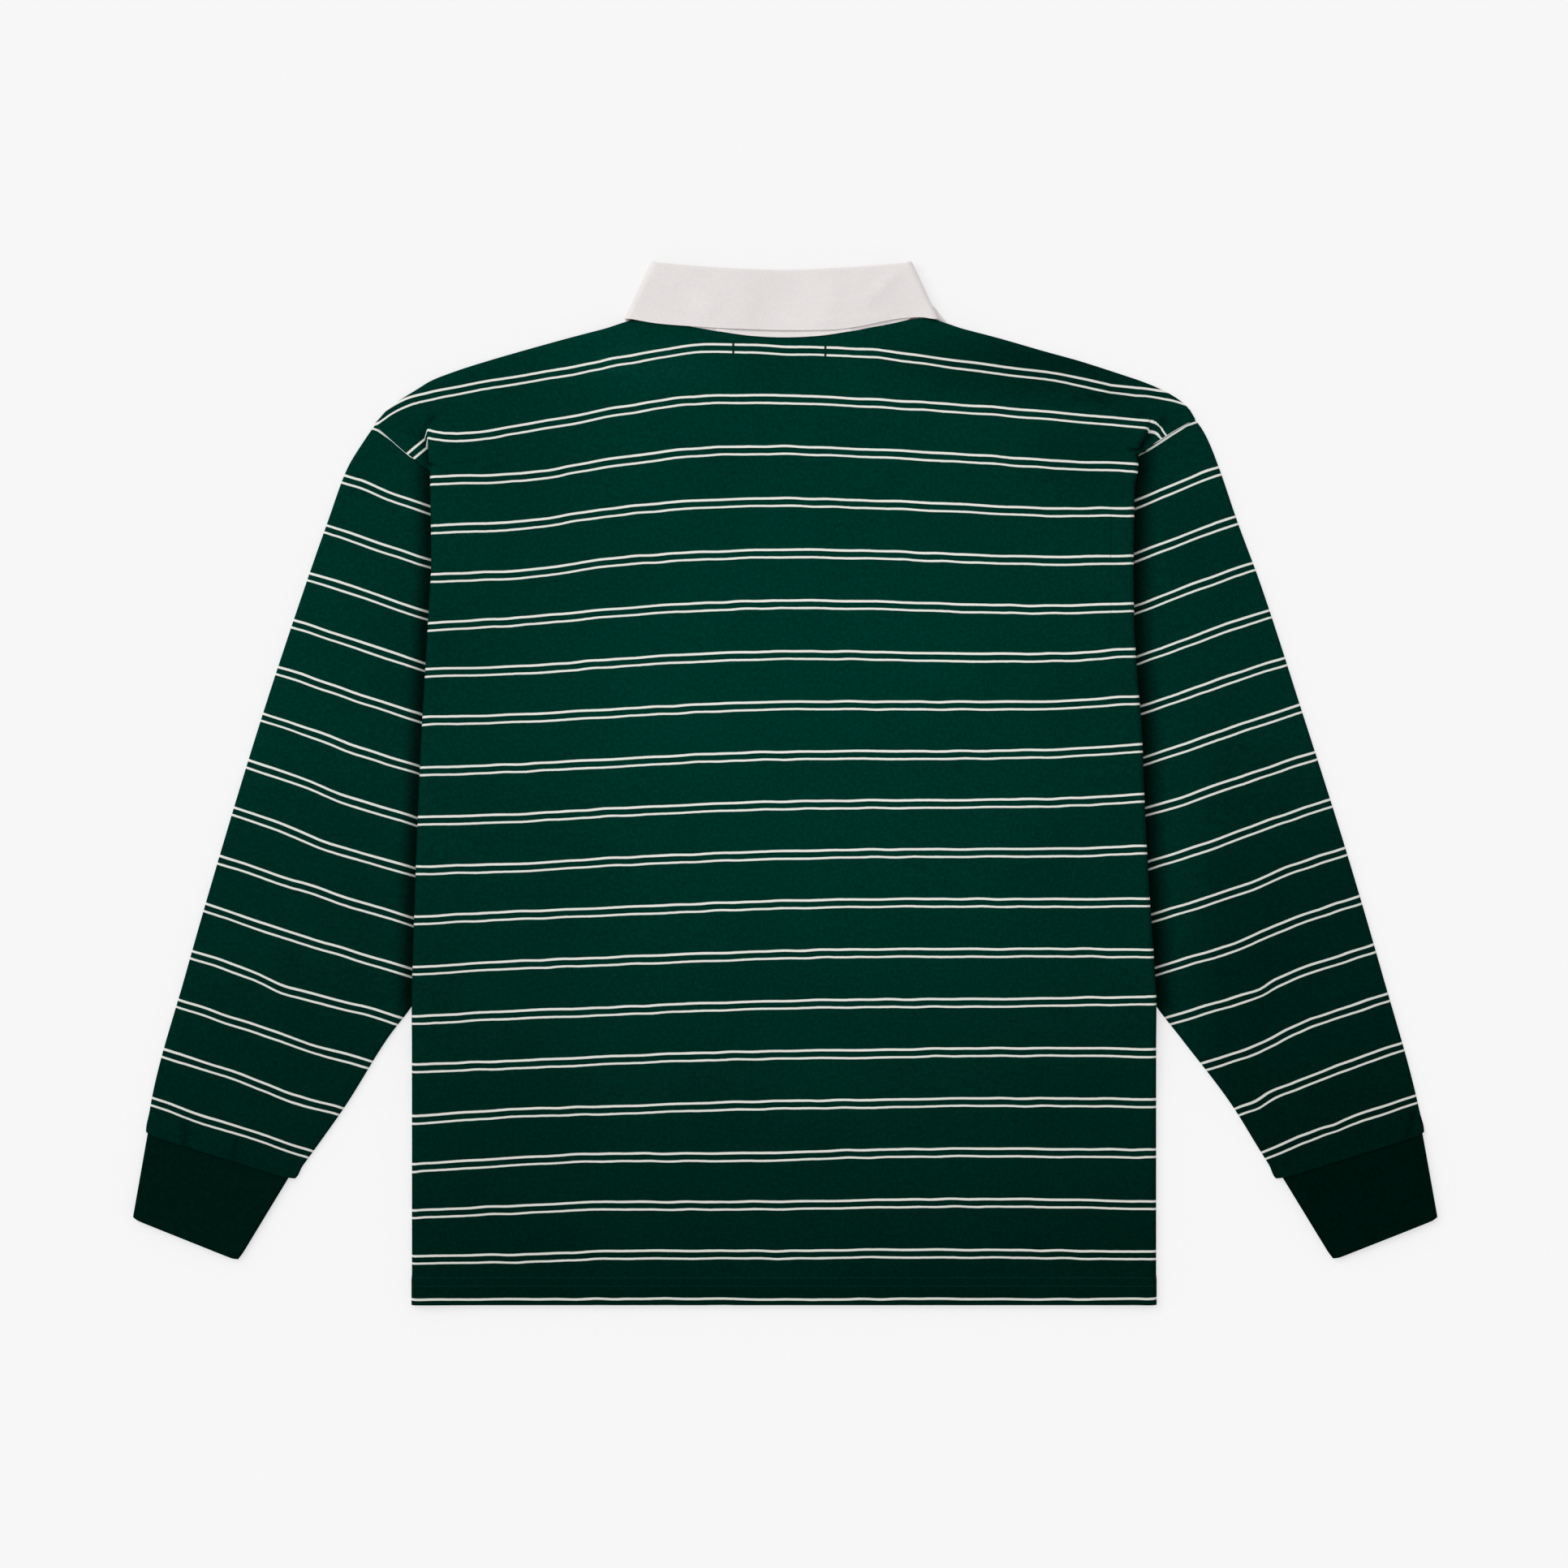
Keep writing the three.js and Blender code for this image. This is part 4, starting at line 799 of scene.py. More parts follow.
# %% Group: a row of stitches
# Distances in millimetres: how far from the row, how far along it
stitch_group, given, out = new_group(
    "stitch_row", {"Distance": 0.0, "Along": 0.0, "Pitch": 3.0, "Thread": 0.35, "Dip": 1.2},
    ["Thread", "Height"])
away = reckon(stitch_group, "ABSOLUTE", given["Distance"])
turns = reckon(stitch_group, "DIVIDE", given["Along"], given["Pitch"])
dash = ease(stitch_group, reckon(stitch_group, "PINGPONG", turns, 0.5), 0.06, 0.14)
thread_end = reckon(stitch_group, "MULTIPLY", given["Thread"], 1.6)
in_row = ease(stitch_group, away, given["Thread"], thread_end, 1.0, 0.0)
thread = reckon(stitch_group, "MULTIPLY", dash, in_row)
dip = ease(stitch_group, away, 0.0, given["Dip"], 1.0, 0.0)
sunk = reckon(stitch_group, "MULTIPLY", reckon(stitch_group, "SUBTRACT", 1.0, thread), dip)
feed(stitch_group, out["Thread"], thread)
feed(stitch_group, out["Height"], reckon(stitch_group, "MULTIPLY", sunk, -1.0))
print("groups:", [group.name for group in bpy.data.node_groups])


# %% A bare finish to build on
def new_finish(name, roughness, specular, sheen=0.0, sheen_tint=(1, 1, 1, 1)):
    material = bpy.data.materials.new(name)
    material.use_nodes = True
    tree = material.node_tree
    shader = tree.nodes["Principled BSDF"]
    shader.inputs["Roughness"].default_value = roughness
    shader.inputs["Specular IOR Level"].default_value = specular
    shader.inputs["Sheen Weight"].default_value = sheen
    shader.inputs["Sheen Roughness"].default_value = 0.5
    shader.inputs["Sheen Tint"].default_value = sheen_tint
    return material, tree, shader


def map_parts(tree, label):
    uv = put(tree, "ShaderNodeUVMap", uv_map=label)
    parts = put(tree, "ShaderNodeSeparateXYZ")
    feed(tree, parts.inputs[0], uv.outputs[0])
    return parts.outputs[0], parts.outputs[1]


def own_place(tree):
    return put(tree, "ShaderNodeTexCoord").outputs["Object"]


def add_bump(tree, shader, height, strength, distance):
    bump = put(tree, "ShaderNodeBump")
    bump.inputs["Strength"].default_value = strength
    bump.inputs["Distance"].default_value = distance
    feed(tree, bump.inputs["Height"], height)
    feed(tree, shader.inputs["Normal"], bump.outputs[0])


# %% [markdown]
# ### Striped jersey
# Heavy cotton jersey, dyed a green so dark that red is gone from it, with cream yarn for the
# stripes. The tone map paints light over both colours: lighter at the shoulders, darker towards
# the hem, on the right and at the sleeve ends, and it paints shade in the folds. Two bar
# stitches break the first stripes beside the collar, and the double hem is sewn with two rows of
# green thread.

# %% Finish: striped jersey
GREEN = (0.0, 0.0335, 0.0221, 1)
CREAM = (0.845, 0.85, 0.785, 1)
HEM_ROWS = (-378.4, -384.7)
jersey, tree, shader = new_finish("striped_jersey", 0.95, 0.0)
across, along = map_parts(tree, "knit")
east, north = map_parts(tree, "place")
# The tone map: painted light level and painted shade
painted_light, shade = map_parts(tree, "tone")
loops = use_group(tree, knit_group, Across=across, Along=along)
wobble = reckon(tree, "MULTIPLY", reckon(tree, "SUBTRACT", loops["Height"], 0.5), 0.006)
stray = use_group(tree, mottle_group, Where=own_place(tree), Size=150.0, Low=-0.0025, High=0.0025)["Shade"]
repeat = reckon(tree, "ADD", along, reckon(tree, "ADD", wobble, stray))
stripes = use_group(tree, stripe_group, Repeat=repeat)["Mask"]

# %% Breaks in the stripes under the bar stitches
for x in BAR_PLACES:
    near_x = ease(tree, reckon(tree, "ABSOLUTE", reckon(tree, "SUBTRACT", east, x)), 0.55, 1.15, 1.0, 0.0)
    near_bar = reckon(tree, "MULTIPLY", near_x, ease(tree, north, 318.0, 319.0))
    stripes = reckon(tree, "MULTIPLY", stripes, reckon(tree, "SUBTRACT", 1.0, near_bar))

# %% Colour and relief of the jersey
broad = use_group(tree, mottle_group, Where=own_place(tree), Size=9.0, Low=0.93, High=1.07)["Shade"]
close = use_group(tree, mottle_group, Where=own_place(tree), Size=420.0, Low=0.74, High=1.26)["Shade"]
green_shade = reckon(tree, "MULTIPLY", reckon(tree, "MULTIPLY", broad, close), loops["Shade"])
# Painted light and painted shade darken the green and the cream
green_shade = reckon(tree, "MULTIPLY", green_shade, reckon(tree, "MULTIPLY", painted_light, shade))
cream_shade = reckon(tree, "MULTIPLY", ease(tree, loops["Height"], 0.0, 1.0, 0.93, 1.02),
                     ease(tree, painted_light, 0.35, 1.0, 0.77, 1.0, "LINEAR"))
cream_shade = reckon(tree, "MULTIPLY", cream_shade, reckon(tree, "POWER", shade, 0.6))
green = blend_colours(tree, 1.0, GREEN, green_shade, "MULTIPLY")
cream = blend_colours(tree, 1.0, CREAM, cream_shade, "MULTIPLY")
colour = blend_colours(tree, stripes, green, cream)
relief = reckon(tree, "MULTIPLY", loops["Height"], 0.35)
on_body = ease(tree, reckon(tree, "ABSOLUTE", east), 286.0, 287.0, 1.0, 0.0)
for row in HEM_ROWS:
    stitches = use_group(tree, stitch_group, Distance=reckon(tree, "SUBTRACT", north, row), Along=east,
                         Pitch=1.9, Thread=0.3, Dip=0.8)
    relief = reckon(tree, "ADD", relief, reckon(tree, "MULTIPLY", stitches["Height"], 0.4))
    sewn = reckon(tree, "MULTIPLY", stitches["Thread"], reckon(tree, "MULTIPLY", on_body, 0.45))
    colour = blend_colours(tree, sewn, colour, (0.003, 0.034, 0.024, 1))
feed(tree, shader.inputs["Base Color"], colour)
add_bump(tree, shader, relief, 0.5, 0.0006)

# %% [markdown]
# ### Rib
# The cuffs are knitted in a rib: ridges that run along the arm, so that the tube springs back.

# %% Finish: cuff rib
RIB_GREEN = (0.0, 0.0096, 0.0062, 1)
rib_finish, tree, shader = new_finish("cuff_rib", 0.95, 0.0)
across, along = map_parts(tree, "knit")
# Painted light level of each cuff, from the tone map
painted_light, _ = map_parts(tree, "tone")
ridge = ease(tree, reckon(tree, "PINGPONG", reckon(tree, "DIVIDE", across, 2.6), 0.5), 0.08, 0.42)
loops = use_group(tree, knit_group, Across=across, Along=along, Wales=0.77, Courses=1.0)
close = use_group(tree, mottle_group, Where=own_place(tree), Size=300.0, Low=0.8, High=1.2)["Shade"]
shade = reckon(tree, "MULTIPLY", close, ease(tree, ridge, 0.0, 1.0, 0.90, 1.04))
shade = reckon(tree, "MULTIPLY", shade, painted_light)
feed(tree, shader.inputs["Base Color"], blend_colours(tree, 1.0, RIB_GREEN, shade, "MULTIPLY"))
relief = reckon(tree, "ADD", ridge, reckon(tree, "MULTIPLY", loops["Height"], 0.2))
add_bump(tree, shader, relief, 0.35, 0.0006)

# %% [markdown]
# ### Drill
# The collar is white cotton drill, a woven twill: its fine ribs run diagonally. A row of stitches
# follows the free edge.

# %% Finish: collar drill
WHITE = (0.79, 0.752, 0.742, 1)
EDGE_STITCH = 9.0
drill_finish, tree, shader = new_finish("collar_drill", 0.9, 0.03)
from_edge, along = map_parts(tree, "weave")
diagonal = reckon(tree, "ADD", reckon(tree, "MULTIPLY", from_edge, 0.8), along)
twill = ease(tree, reckon(tree, "PINGPONG", reckon(tree, "DIVIDE", diagonal, 0.9), 0.5), 0.0, 0.5)
broad = use_group(tree, mottle_group, Where=own_place(tree), Size=22.0, Low=0.955, High=1.03)["Shade"]
close = use_group(tree, mottle_group, Where=own_place(tree), Size=500.0, Low=0.97, High=1.03)["Shade"]
row = reckon(tree, "SUBTRACT", from_edge, EDGE_STITCH)
stitches = use_group(tree, stitch_group, Distance=row, Along=along, Pitch=2.8, Thread=0.3, Dip=0.7)
shade = reckon(tree, "MULTIPLY", broad, close)
shade = reckon(tree, "MULTIPLY", shade, ease(tree, twill, 0.0, 1.0, 0.97, 1.01))
# Painted shade in the sunken groove beside the stitches
shade = reckon(tree, "ADD", shade, reckon(tree, "MULTIPLY", stitches["Height"], 0.07))
shade = reckon(tree, "ADD", shade, reckon(tree, "MULTIPLY", stitches["Thread"], 0.05))
feed(tree, shader.inputs["Base Color"], blend_colours(tree, 1.0, WHITE, shade, "MULTIPLY"))
relief = reckon(tree, "MULTIPLY", twill, 0.15)
relief = reckon(tree, "ADD", relief, reckon(tree, "MULTIPLY", stitches["Height"], 0.5))
add_bump(tree, shader, relief, 0.5, 0.0004)
print("finishes:", jersey.name, rib_finish.name, drill_finish.name)

# %% [markdown]
# ## Back panel
# The back is one piece from shoulder to hem. On the real shirt it goes over the shoulders, and
# its sides roll down to the surface. The grid's rows run from the shoulder line to the hem. Each
# row starts on the armhole seam while the seam shows, then on the tucked side, where its first
# points turn through a quarter circle. Beside the armhole the row climbs from the shoulder piece
# over the crease.

# %% Rows of the back panel
SIDE_POINTS = 18
CAP_POINTS = 9
ROLL_POINTS = 9
top_roll = ROLL * (1 - np.cos(np.linspace(0, math.pi / 2, 6)))
down_rows = np.concatenate([top_roll, np.arange(7, 676, 3.6)])
down_rows = down_rows[down_rows < 275.1 - HEM_Y - 2]
down_rows = np.concatenate([down_rows, [275.1 - HEM_Y]])
RIGHT_ROWS = [(0, 279.4), (34.2, 252.7), (68, 226.3), (110.1, 165.0), (275.1 - HEM_Y, HEM_Y)]


def row_height(side, down):
    if side["way"] < 0:
        return 275.1 - down
    return float(np.interp(down, column(RIGHT_ROWS, 0), column(RIGHT_ROWS, 1)))


def row_line(x, ends, hump):
    """Heights along a row: straight between its ends, humped like the shoulder line."""
    (left_x, left_y), (right_x, right_y) = ends
    share = np.clip((x - left_x) / (right_x - left_x), 0, 1)
    shape = back_top(x) - mix(back_top(left_x), back_top(right_x), share)
    return mix(left_y, right_y, share) + hump * shape


def row_end(side, down):
    y = row_height(side, down)
    if y >= side["tucks_under"]:
        seam = side["armhole_line"](share_at_height(side["armhole_line"], y))
        return float(seam[0]), y, True
    return float(side_edge(side, y)), y, False


print("rows of the back panel:", len(down_rows))


# %% The side of a row
def rolled(height, from_top):
    reach = np.minimum(from_top / ROLL, 1)
    return mix(FLOOR_RIM, height, np.sqrt(1 - (1 - reach) ** 2))


def rolled_side(side, end, ends, hump):
    """The quarter circle down from the upper layer, then some points next to it."""
    inward = -side["way"]
    angle = np.linspace(0, math.pi / 2, ROLL_POINTS)
    turn = end[0] + inward * (JERSEY / 2 + ROLL * (1 - np.cos(angle)))
    beyond = turn[-1] + inward * np.linspace(0, 14, SIDE_POINTS - ROLL_POINTS + 1)[1:]
    x = np.concatenate([turn, beyond])
    y = row_line(x, ends, hump)
    top = back_height(x, y)
    level = back_height(np.array(turn[-1]), np.array(end[1]))
    rim = mix(FLOOR_RIM, SLEEVE_RIM, smooth(-200, -176, end[1]))
    z = top.copy()
    z[:ROLL_POINTS] = mix(rim, level, np.sin(angle))
    return np.stack([x, y, z], -1)


def stepped_side(side, end, ends, hump, from_top):
    """The shoulder piece from the armhole seam to the crease, and the step up from it."""
    inward = -side["way"]
    crease = float(side_edge(side, end[1]))
    room = max(abs(crease - end[0]), 3.0)
    crease = end[0] + inward * room
    cap = end[0] + inward * (-CAP_LAP + np.linspace(0, 1, CAP_POINTS) * (room + CAP_LAP - 0.9))
    step = crease + inward * np.array([-0.5, 0.0, 0.04, 0.7, 1.8, 3.6, 6.0, 9.0, 12.5])
    x = np.concatenate([cap, step])
    y = row_line(x, ends, hump)
    low = cap_height(side, x, y) + np.maximum(fold_height(BODY_CREASES, x, y), -0.8)
    high = np.maximum(back_height(x, y), low)
    over = np.clip((inward * (x - crease) + 0.5) / 4.1, 0, 1)
    share = np.sqrt(1 - (1 - over) ** 2)
    z = mix(low, high, share)
    return np.stack([x, y - 0.6 * (1 - min(from_top / ROLL, 1)), rolled(z, from_top)], -1)


# %% Make the back panel
MIDDLE_X = BODY_CENTRE + np.linspace(-250, 250, 144)


def back_row(down):
    left, right = (row_end(side, down) for side in SLEEVES.values())
    ends = (left[:2], right[:2])
    from_top = down if down <= 68 else 999
    hump = 1.0 if down < 110 else float(smooth(-150, 240, 275.1 - down + 75))
    y = row_line(MIDDLE_X, ends, hump)
    height = back_height(MIDDLE_X, y)
    off_neck = smooth(0, 14, np.abs(MIDDLE_X - BODY_CENTRE) - NECK_SIDE)
    reach = min(from_top / ROLL, 1)
    middle = np.stack([MIDDLE_X, y - 0.6 * (1 - reach) * off_neck,
                       mix(height, rolled(height, from_top), off_neck)], -1)
    blocks = []
    for side, end in zip(SLEEVES.values(), (left, right)):
        if end[2]:
            blocks.append(stepped_side(side, end, ends, hump, from_top))
        else:
            blocks.append(rolled_side(side, end, ends, hump))
    return np.concatenate([blocks[0], middle, blocks[1][::-1]])


def panel_thickness(grid):
    return np.where(grid[..., 1] < HEM_Y + HEM_DEPTH + 1, HEM_PLY, JERSEY)


back_grid = np.stack([back_row(down) for down in down_rows])
back_grid[-1, :, 1] -= 0.8
back_wall = panel_thickness(back_grid)
back_panel = cloth_wall("back_panel_cloth", back_grid, back_wall, body_maps(back_grid), jersey)

# %% [markdown]
# ## Front panel
# The front lies on the surface and is hardly seen, but it is the same cloth: lower at the neck,
# slit for the closure, and flat where it rests. Its grid is coarser, and the cells of the slit are
# left out.

# %% Make the front panel
FRONT_INSET = JERSEY + 3 * SEAM
SHOULDER_INSET = 3


def front_edge_at(side, y):
    inward = -side["way"]
    seam = side["armhole_line"](share_at_height(side["armhole_line"], max(y, UNDERARM_Y)))[0]
    at_hem = HEM_PLY - JERSEY if y < HEM_Y + HEM_DEPTH + 1 else 0
    below = side_edge(side, y) + inward * (FRONT_INSET + at_hem)
    clear = SEAM + 1.5 * (1 - smooth(60, 95, y))
    return float(mix(below, seam + inward * clear, smooth(8, UNDERARM_Y, y)))


def front_top(x):
    out = np.abs(x)
    inset = back_top(x) - SHOULDER_INSET - 3.6 * smooth(215, 290, out) - 2.2 * (1 - smooth(120, 160, out))
    in_neck = np.abs(x - BODY_CENTRE) < NECK_SIDE
    return np.where(in_neck, front_neck(x - BODY_CENTRE) - 0.5, inset)


def front_line(x, ends, hump):
    (left_x, left_y), (right_x, right_y) = ends
    share = np.clip((x - left_x) / (right_x - left_x), 0, 1)
    shape = front_top(x) - mix(front_top(left_x), front_top(right_x), share)
    return mix(left_y, right_y, share) + hump * shape


FRONT_STEPS = [232, 214, 195, 176, 158, 140, 128, 120, 116, 108, 104, 100, 95, 89, 82, 74, 66, 58, 50,
               42, 34, 26, 21, 16.5]
front_columns = np.array([-s for s in FRONT_STEPS] + [-8, 0, 8] + FRONT_STEPS[::-1]) + BODY_CENTRE
slit_bottom = PLACKET_BOTTOM + 6
front_levels = np.concatenate([
    np.linspace(275, slit_bottom, 34), np.linspace(slit_bottom, -205, 62)[1:],
    np.linspace(-205, HEM_Y + HEM_DEPTH + 2, 30)[1:], [HEM_Y + HEM_DEPTH, HEM_Y + 10, HEM_Y]])


def front_row(k, y):
    ends = []
    for side in SLEEVES.values():
        level = y + (side["tip"][1] - 275) * float(smooth(150, 262, y))
        corner = side["tip"][0] - side["way"] * 6
        if k == 0:
            ends.append((corner, float(front_top(corner))))
        else:
            ends.append((front_edge_at(side, level), level))
    steps = np.array([0, 1.5, 3, 5.5, 8, 11, 14, 17, 20, 24])
    x = np.concatenate([ends[0][0] + steps, front_columns, (ends[1][0] - steps)[::-1]])
    hump = 1.0 if k == 0 else float(smooth(130, 240, y))
    line = front_line(x, ends, hump)
    ply = np.where(line < HEM_Y + HEM_DEPTH + 1, (HEM_PLY - JERSEY) / 2, 0)
    return np.stack([x, line, front_height(x, line) + ply], -1)


front_grid = np.stack([front_row(k, y) for k, y in enumerate(front_levels)])
cell_x = (front_grid[:-1, :-1, 0] + front_grid[:-1, 1:, 0]) / 2 - BODY_CENTRE
in_slit = (np.abs(cell_x) < OPENING_WIDTH / 2) & (np.arange(len(front_levels) - 1) < 33)[:, None]
front_panel = cloth_wall("front_panel_cloth", front_grid, panel_thickness(front_grid),
                         body_maps(front_grid), jersey, keep=~in_slit)

# %% [markdown]
# ## Sleeves
# A sleeve is a tube that lies flat: its upper half has a low crown, its lower half touches the
# surface. Rings run from the armhole seam to the cuff. Where the sleeve slips under the body, the
# upper half is pressed flat.

# %% Make the sleeves
def sleeve_plan(side, along, across):
    outer = side["outer_line"](along)[:, None]
    inner = side["inner_line"](along)[:, None]
    share = across[None, :, None]
    chord = mix(outer, inner, share)
    ends = side["armhole_line"](np.array([0.0, 1.0]))
    bow = side["armhole_line"](across) - mix(ends[0], ends[1], across[:, None])
    fade = np.maximum(0, 1 - along / 0.4) ** 2
    plan = chord + bow[None] * fade[:, None, None]
    width = np.linalg.norm(plan[:, -1] - plan[:, 0], axis=1)
    bulge = 1.1 * np.exp(-(((along - 0.993) / 0.012) ** 2))
    inset = ((JERSEY / 2 - bulge) / width)[:, None] * (1 - 2 * across)[None]
    return plan + (plan[:, -1:] - plan[:, :1]) * inset[..., None]


def lap_over_cuff(side, plan, along, across, on_top):
    """Draws the upper layer's end out over the cuff, less at its round corners."""
    run = side["outer_line"](1.0) - side["outer_line"](0.93)
    run /= np.linalg.norm(run)
    corner = 1 - (1 - np.clip(4 * across * (1 - across), 0, 1)) ** 6
    reach = CUFF_LAP * corner * on_top + 1.2 * (1 - corner)
    return plan + smooth(0.975, 1, along)[:, None, None] * reach[None, :, None] * run


def sleeve_height(side, x, y, along, across):
    clear = side["way"] * (x - side_edge(side, y))
    free = np.where(y < SLEEVE_LEAVES_Y, 1, smooth(2, 50, clear))
    crown = (4 * across * (1 - across)) ** 0.6
    ends = smooth(0, 0.12, along) * mix(1, 0.35, smooth(0.9, 1, along))
    folds = fold_height(SLEEVE_FOLDS + END_PLEATS, x, y) + rest_waves(x * 1.3, y * 1.3, 0.3)
    gathers = 0.55 * np.sin(across * 37 + 1.3 * np.sin(across * 17)) * smooth(0.93, 0.985, along)
    lift = SLEEVE_PUFF * crown + (folds + gathers) * np.minimum(1, crown * 1.5)
    over_cuff = (SLEEVE_END - SLEEVE_TOP) * smooth(0.984, 0.997, along) * np.minimum(1, crown * 2.2)
    return SLEEVE_TOP + np.maximum(free * ends * lift, over_cuff + 0.3 * gathers)


def reach_under(side, plan, along, on_top):
    """Draws the upper layer's seam edge inwards, where the body's side leaves it."""
    y = plan[..., 1]
    goes_under = smooth(side["tucks_under"] - 30, side["tucks_under"] - 12, y)
    goes_under = goes_under * (1 - smooth(side["tucks_under"] + 3, side["tucks_under"] + 9, y))
    reach = 3.2 * goes_under * (1 - smooth(0.0, 0.03, along))[:, None] * on_top
    return plan - np.stack([side["way"] * reach, np.zeros_like(reach)], -1)


def make_sleeve(name):
    side = SLEEVES[name]
    along = np.concatenate([[0.002, 0.008, 0.016], np.linspace(0.025, 0.98, 150),
                            [0.984, 0.988, 0.991, 0.994, 0.997, 1.0]])
    even = np.linspace(0, 1, 52)
    upper = mix(even, 0.5 - 0.5 * np.cos(math.pi * even), 0.7)
    lower = upper[-2:0:-3]
    ring = np.concatenate([upper, lower])
    on_top = np.arange(len(ring)) < len(upper)
    plan = reach_under(side, sleeve_plan(side, along, ring), along, on_top)
    plan = lap_over_cuff(side, plan, along, ring, on_top)
    height = sleeve_height(side, plan[..., 0], plan[..., 1], along[:, None], ring[None])
    height[:, [0, len(upper) - 1]] = (SLEEVE_TOP + FLOOR_LAYER) / 2
    height[:, len(upper):] = FLOOR_LAYER
    grid = np.concatenate([plan, height[..., None]], -1)
    return cloth_wall("sleeve_" + name + "_cloth", grid, JERSEY, sleeve_maps(name, grid), jersey, ring=True)


sleeves = {name: make_sleeve(name) for name in SLEEVES}

# %% [markdown]
# ## Cuffs
# A cuff is a short tube of thick rib, sewn to the sleeve end. Its map holds millimetres across and
# along, so that the ridges keep their width as the cuff narrows.

# %% Make the cuffs
# Painted light on the cuffs: the right one darker
CUFF_PAINTED_LIGHT = {"left": 1.0, "right": 0.68}


def make_cuff(name):
    side = SLEEVES[name]
    outer_top, outer_end, inner_top, inner_end = (np.array(p) for p in side["cuff"])
    outer_top = outer_top + np.array([side["way"] * 0.7, 0])
    outer_end = outer_end + np.array([side["way"] * 1.3, -1.0])
    inner_end = inner_end + np.array([side["way"] * 0.5, -1.1])
    along = np.array([0, 0.02, 0.05, 0.1, 0.2, 0.3, 0.4, 0.5, 0.6, 0.7, 0.8, 0.88, 0.94, 0.98, 1.0])
    even = np.linspace(0, 1, 72)
    upper = mix(even, 0.5 - 0.5 * np.cos(math.pi * even), 0.5)
    lower = upper[-2:0:-2]
    ring = np.concatenate([upper, lower])
    outer = mix(outer_top, outer_end, along[:, None])[:, None]
    inner = mix(inner_top, inner_end, along[:, None])[:, None]
    width = np.linalg.norm(inner - outer, axis=-1)
    across = ring[None] + (RIB / 2 / width) * (1 - 2 * ring)[None]
    plan = mix(outer, inner, across[..., None])
    run = (outer_end - outer_top) / np.linalg.norm(outer_end - outer_top)
    corner = (1 - np.clip(4 * ring * (1 - ring), 0, 1)) ** 12
    plan = plan - (1.6 * smooth(0.9, 1, along)[:, None] * corner)[..., None] * run
    crown = 0.5 * (4 * ring * (1 - ring)) ** 0.6
    ridges = 0.06 * np.cos(ring * 100 / 2.6 * math.pi)
    soft = np.minimum(1, np.minimum(ring, 1 - ring) * 20)
    high = RIB * 1.5 + SEAM + crown + ridges * soft
    height = np.broadcast_to(high, plan.shape[:2]).copy()
    height += 0.25 * rest_waves(plan[..., 0] * 2, plan[..., 1] * 2, 1.0) * soft
    height[:, [0, len(upper) - 1]] = RIB + SEAM / 2
    height[:, len(upper):] = RIB / 2
    grid = np.concatenate([plan, height[..., None]], -1)
    length = np.linalg.norm(outer_end - outer_top)
    knit = np.stack([np.broadcast_to(ring * 100, height.shape),
                     np.broadcast_to(along[:, None] * length, height.shape)], -1)
    tone = np.full(knit.shape, CUFF_PAINTED_LIGHT[name])
    return cloth_wall("cuff_" + name + "_rib", grid, RIB, {"knit": knit, "tone": tone}, rib_finish, ring=True)


cuffs = {name: make_cuff(name) for name in SLEEVES}

# %% [markdown]
# ## Collar
# The collar goes round the neck: its back lies on the back panel, its two fronts lie under the
# shirt. Stations follow it from the left front to the right front. At each one, the fall runs
# from a lip on the stand, over the fold and out to the free edge; the stand runs from the lip down
# to the neck seam.

# %% Stations round the neck
# Where the front's free edge peeks out beside the collar's corner, left and right: share of the
# front's length, how far out and up
PEEKS = [(0.05, 6.0, 5.0), (0.05, 14.0, 3.6)]


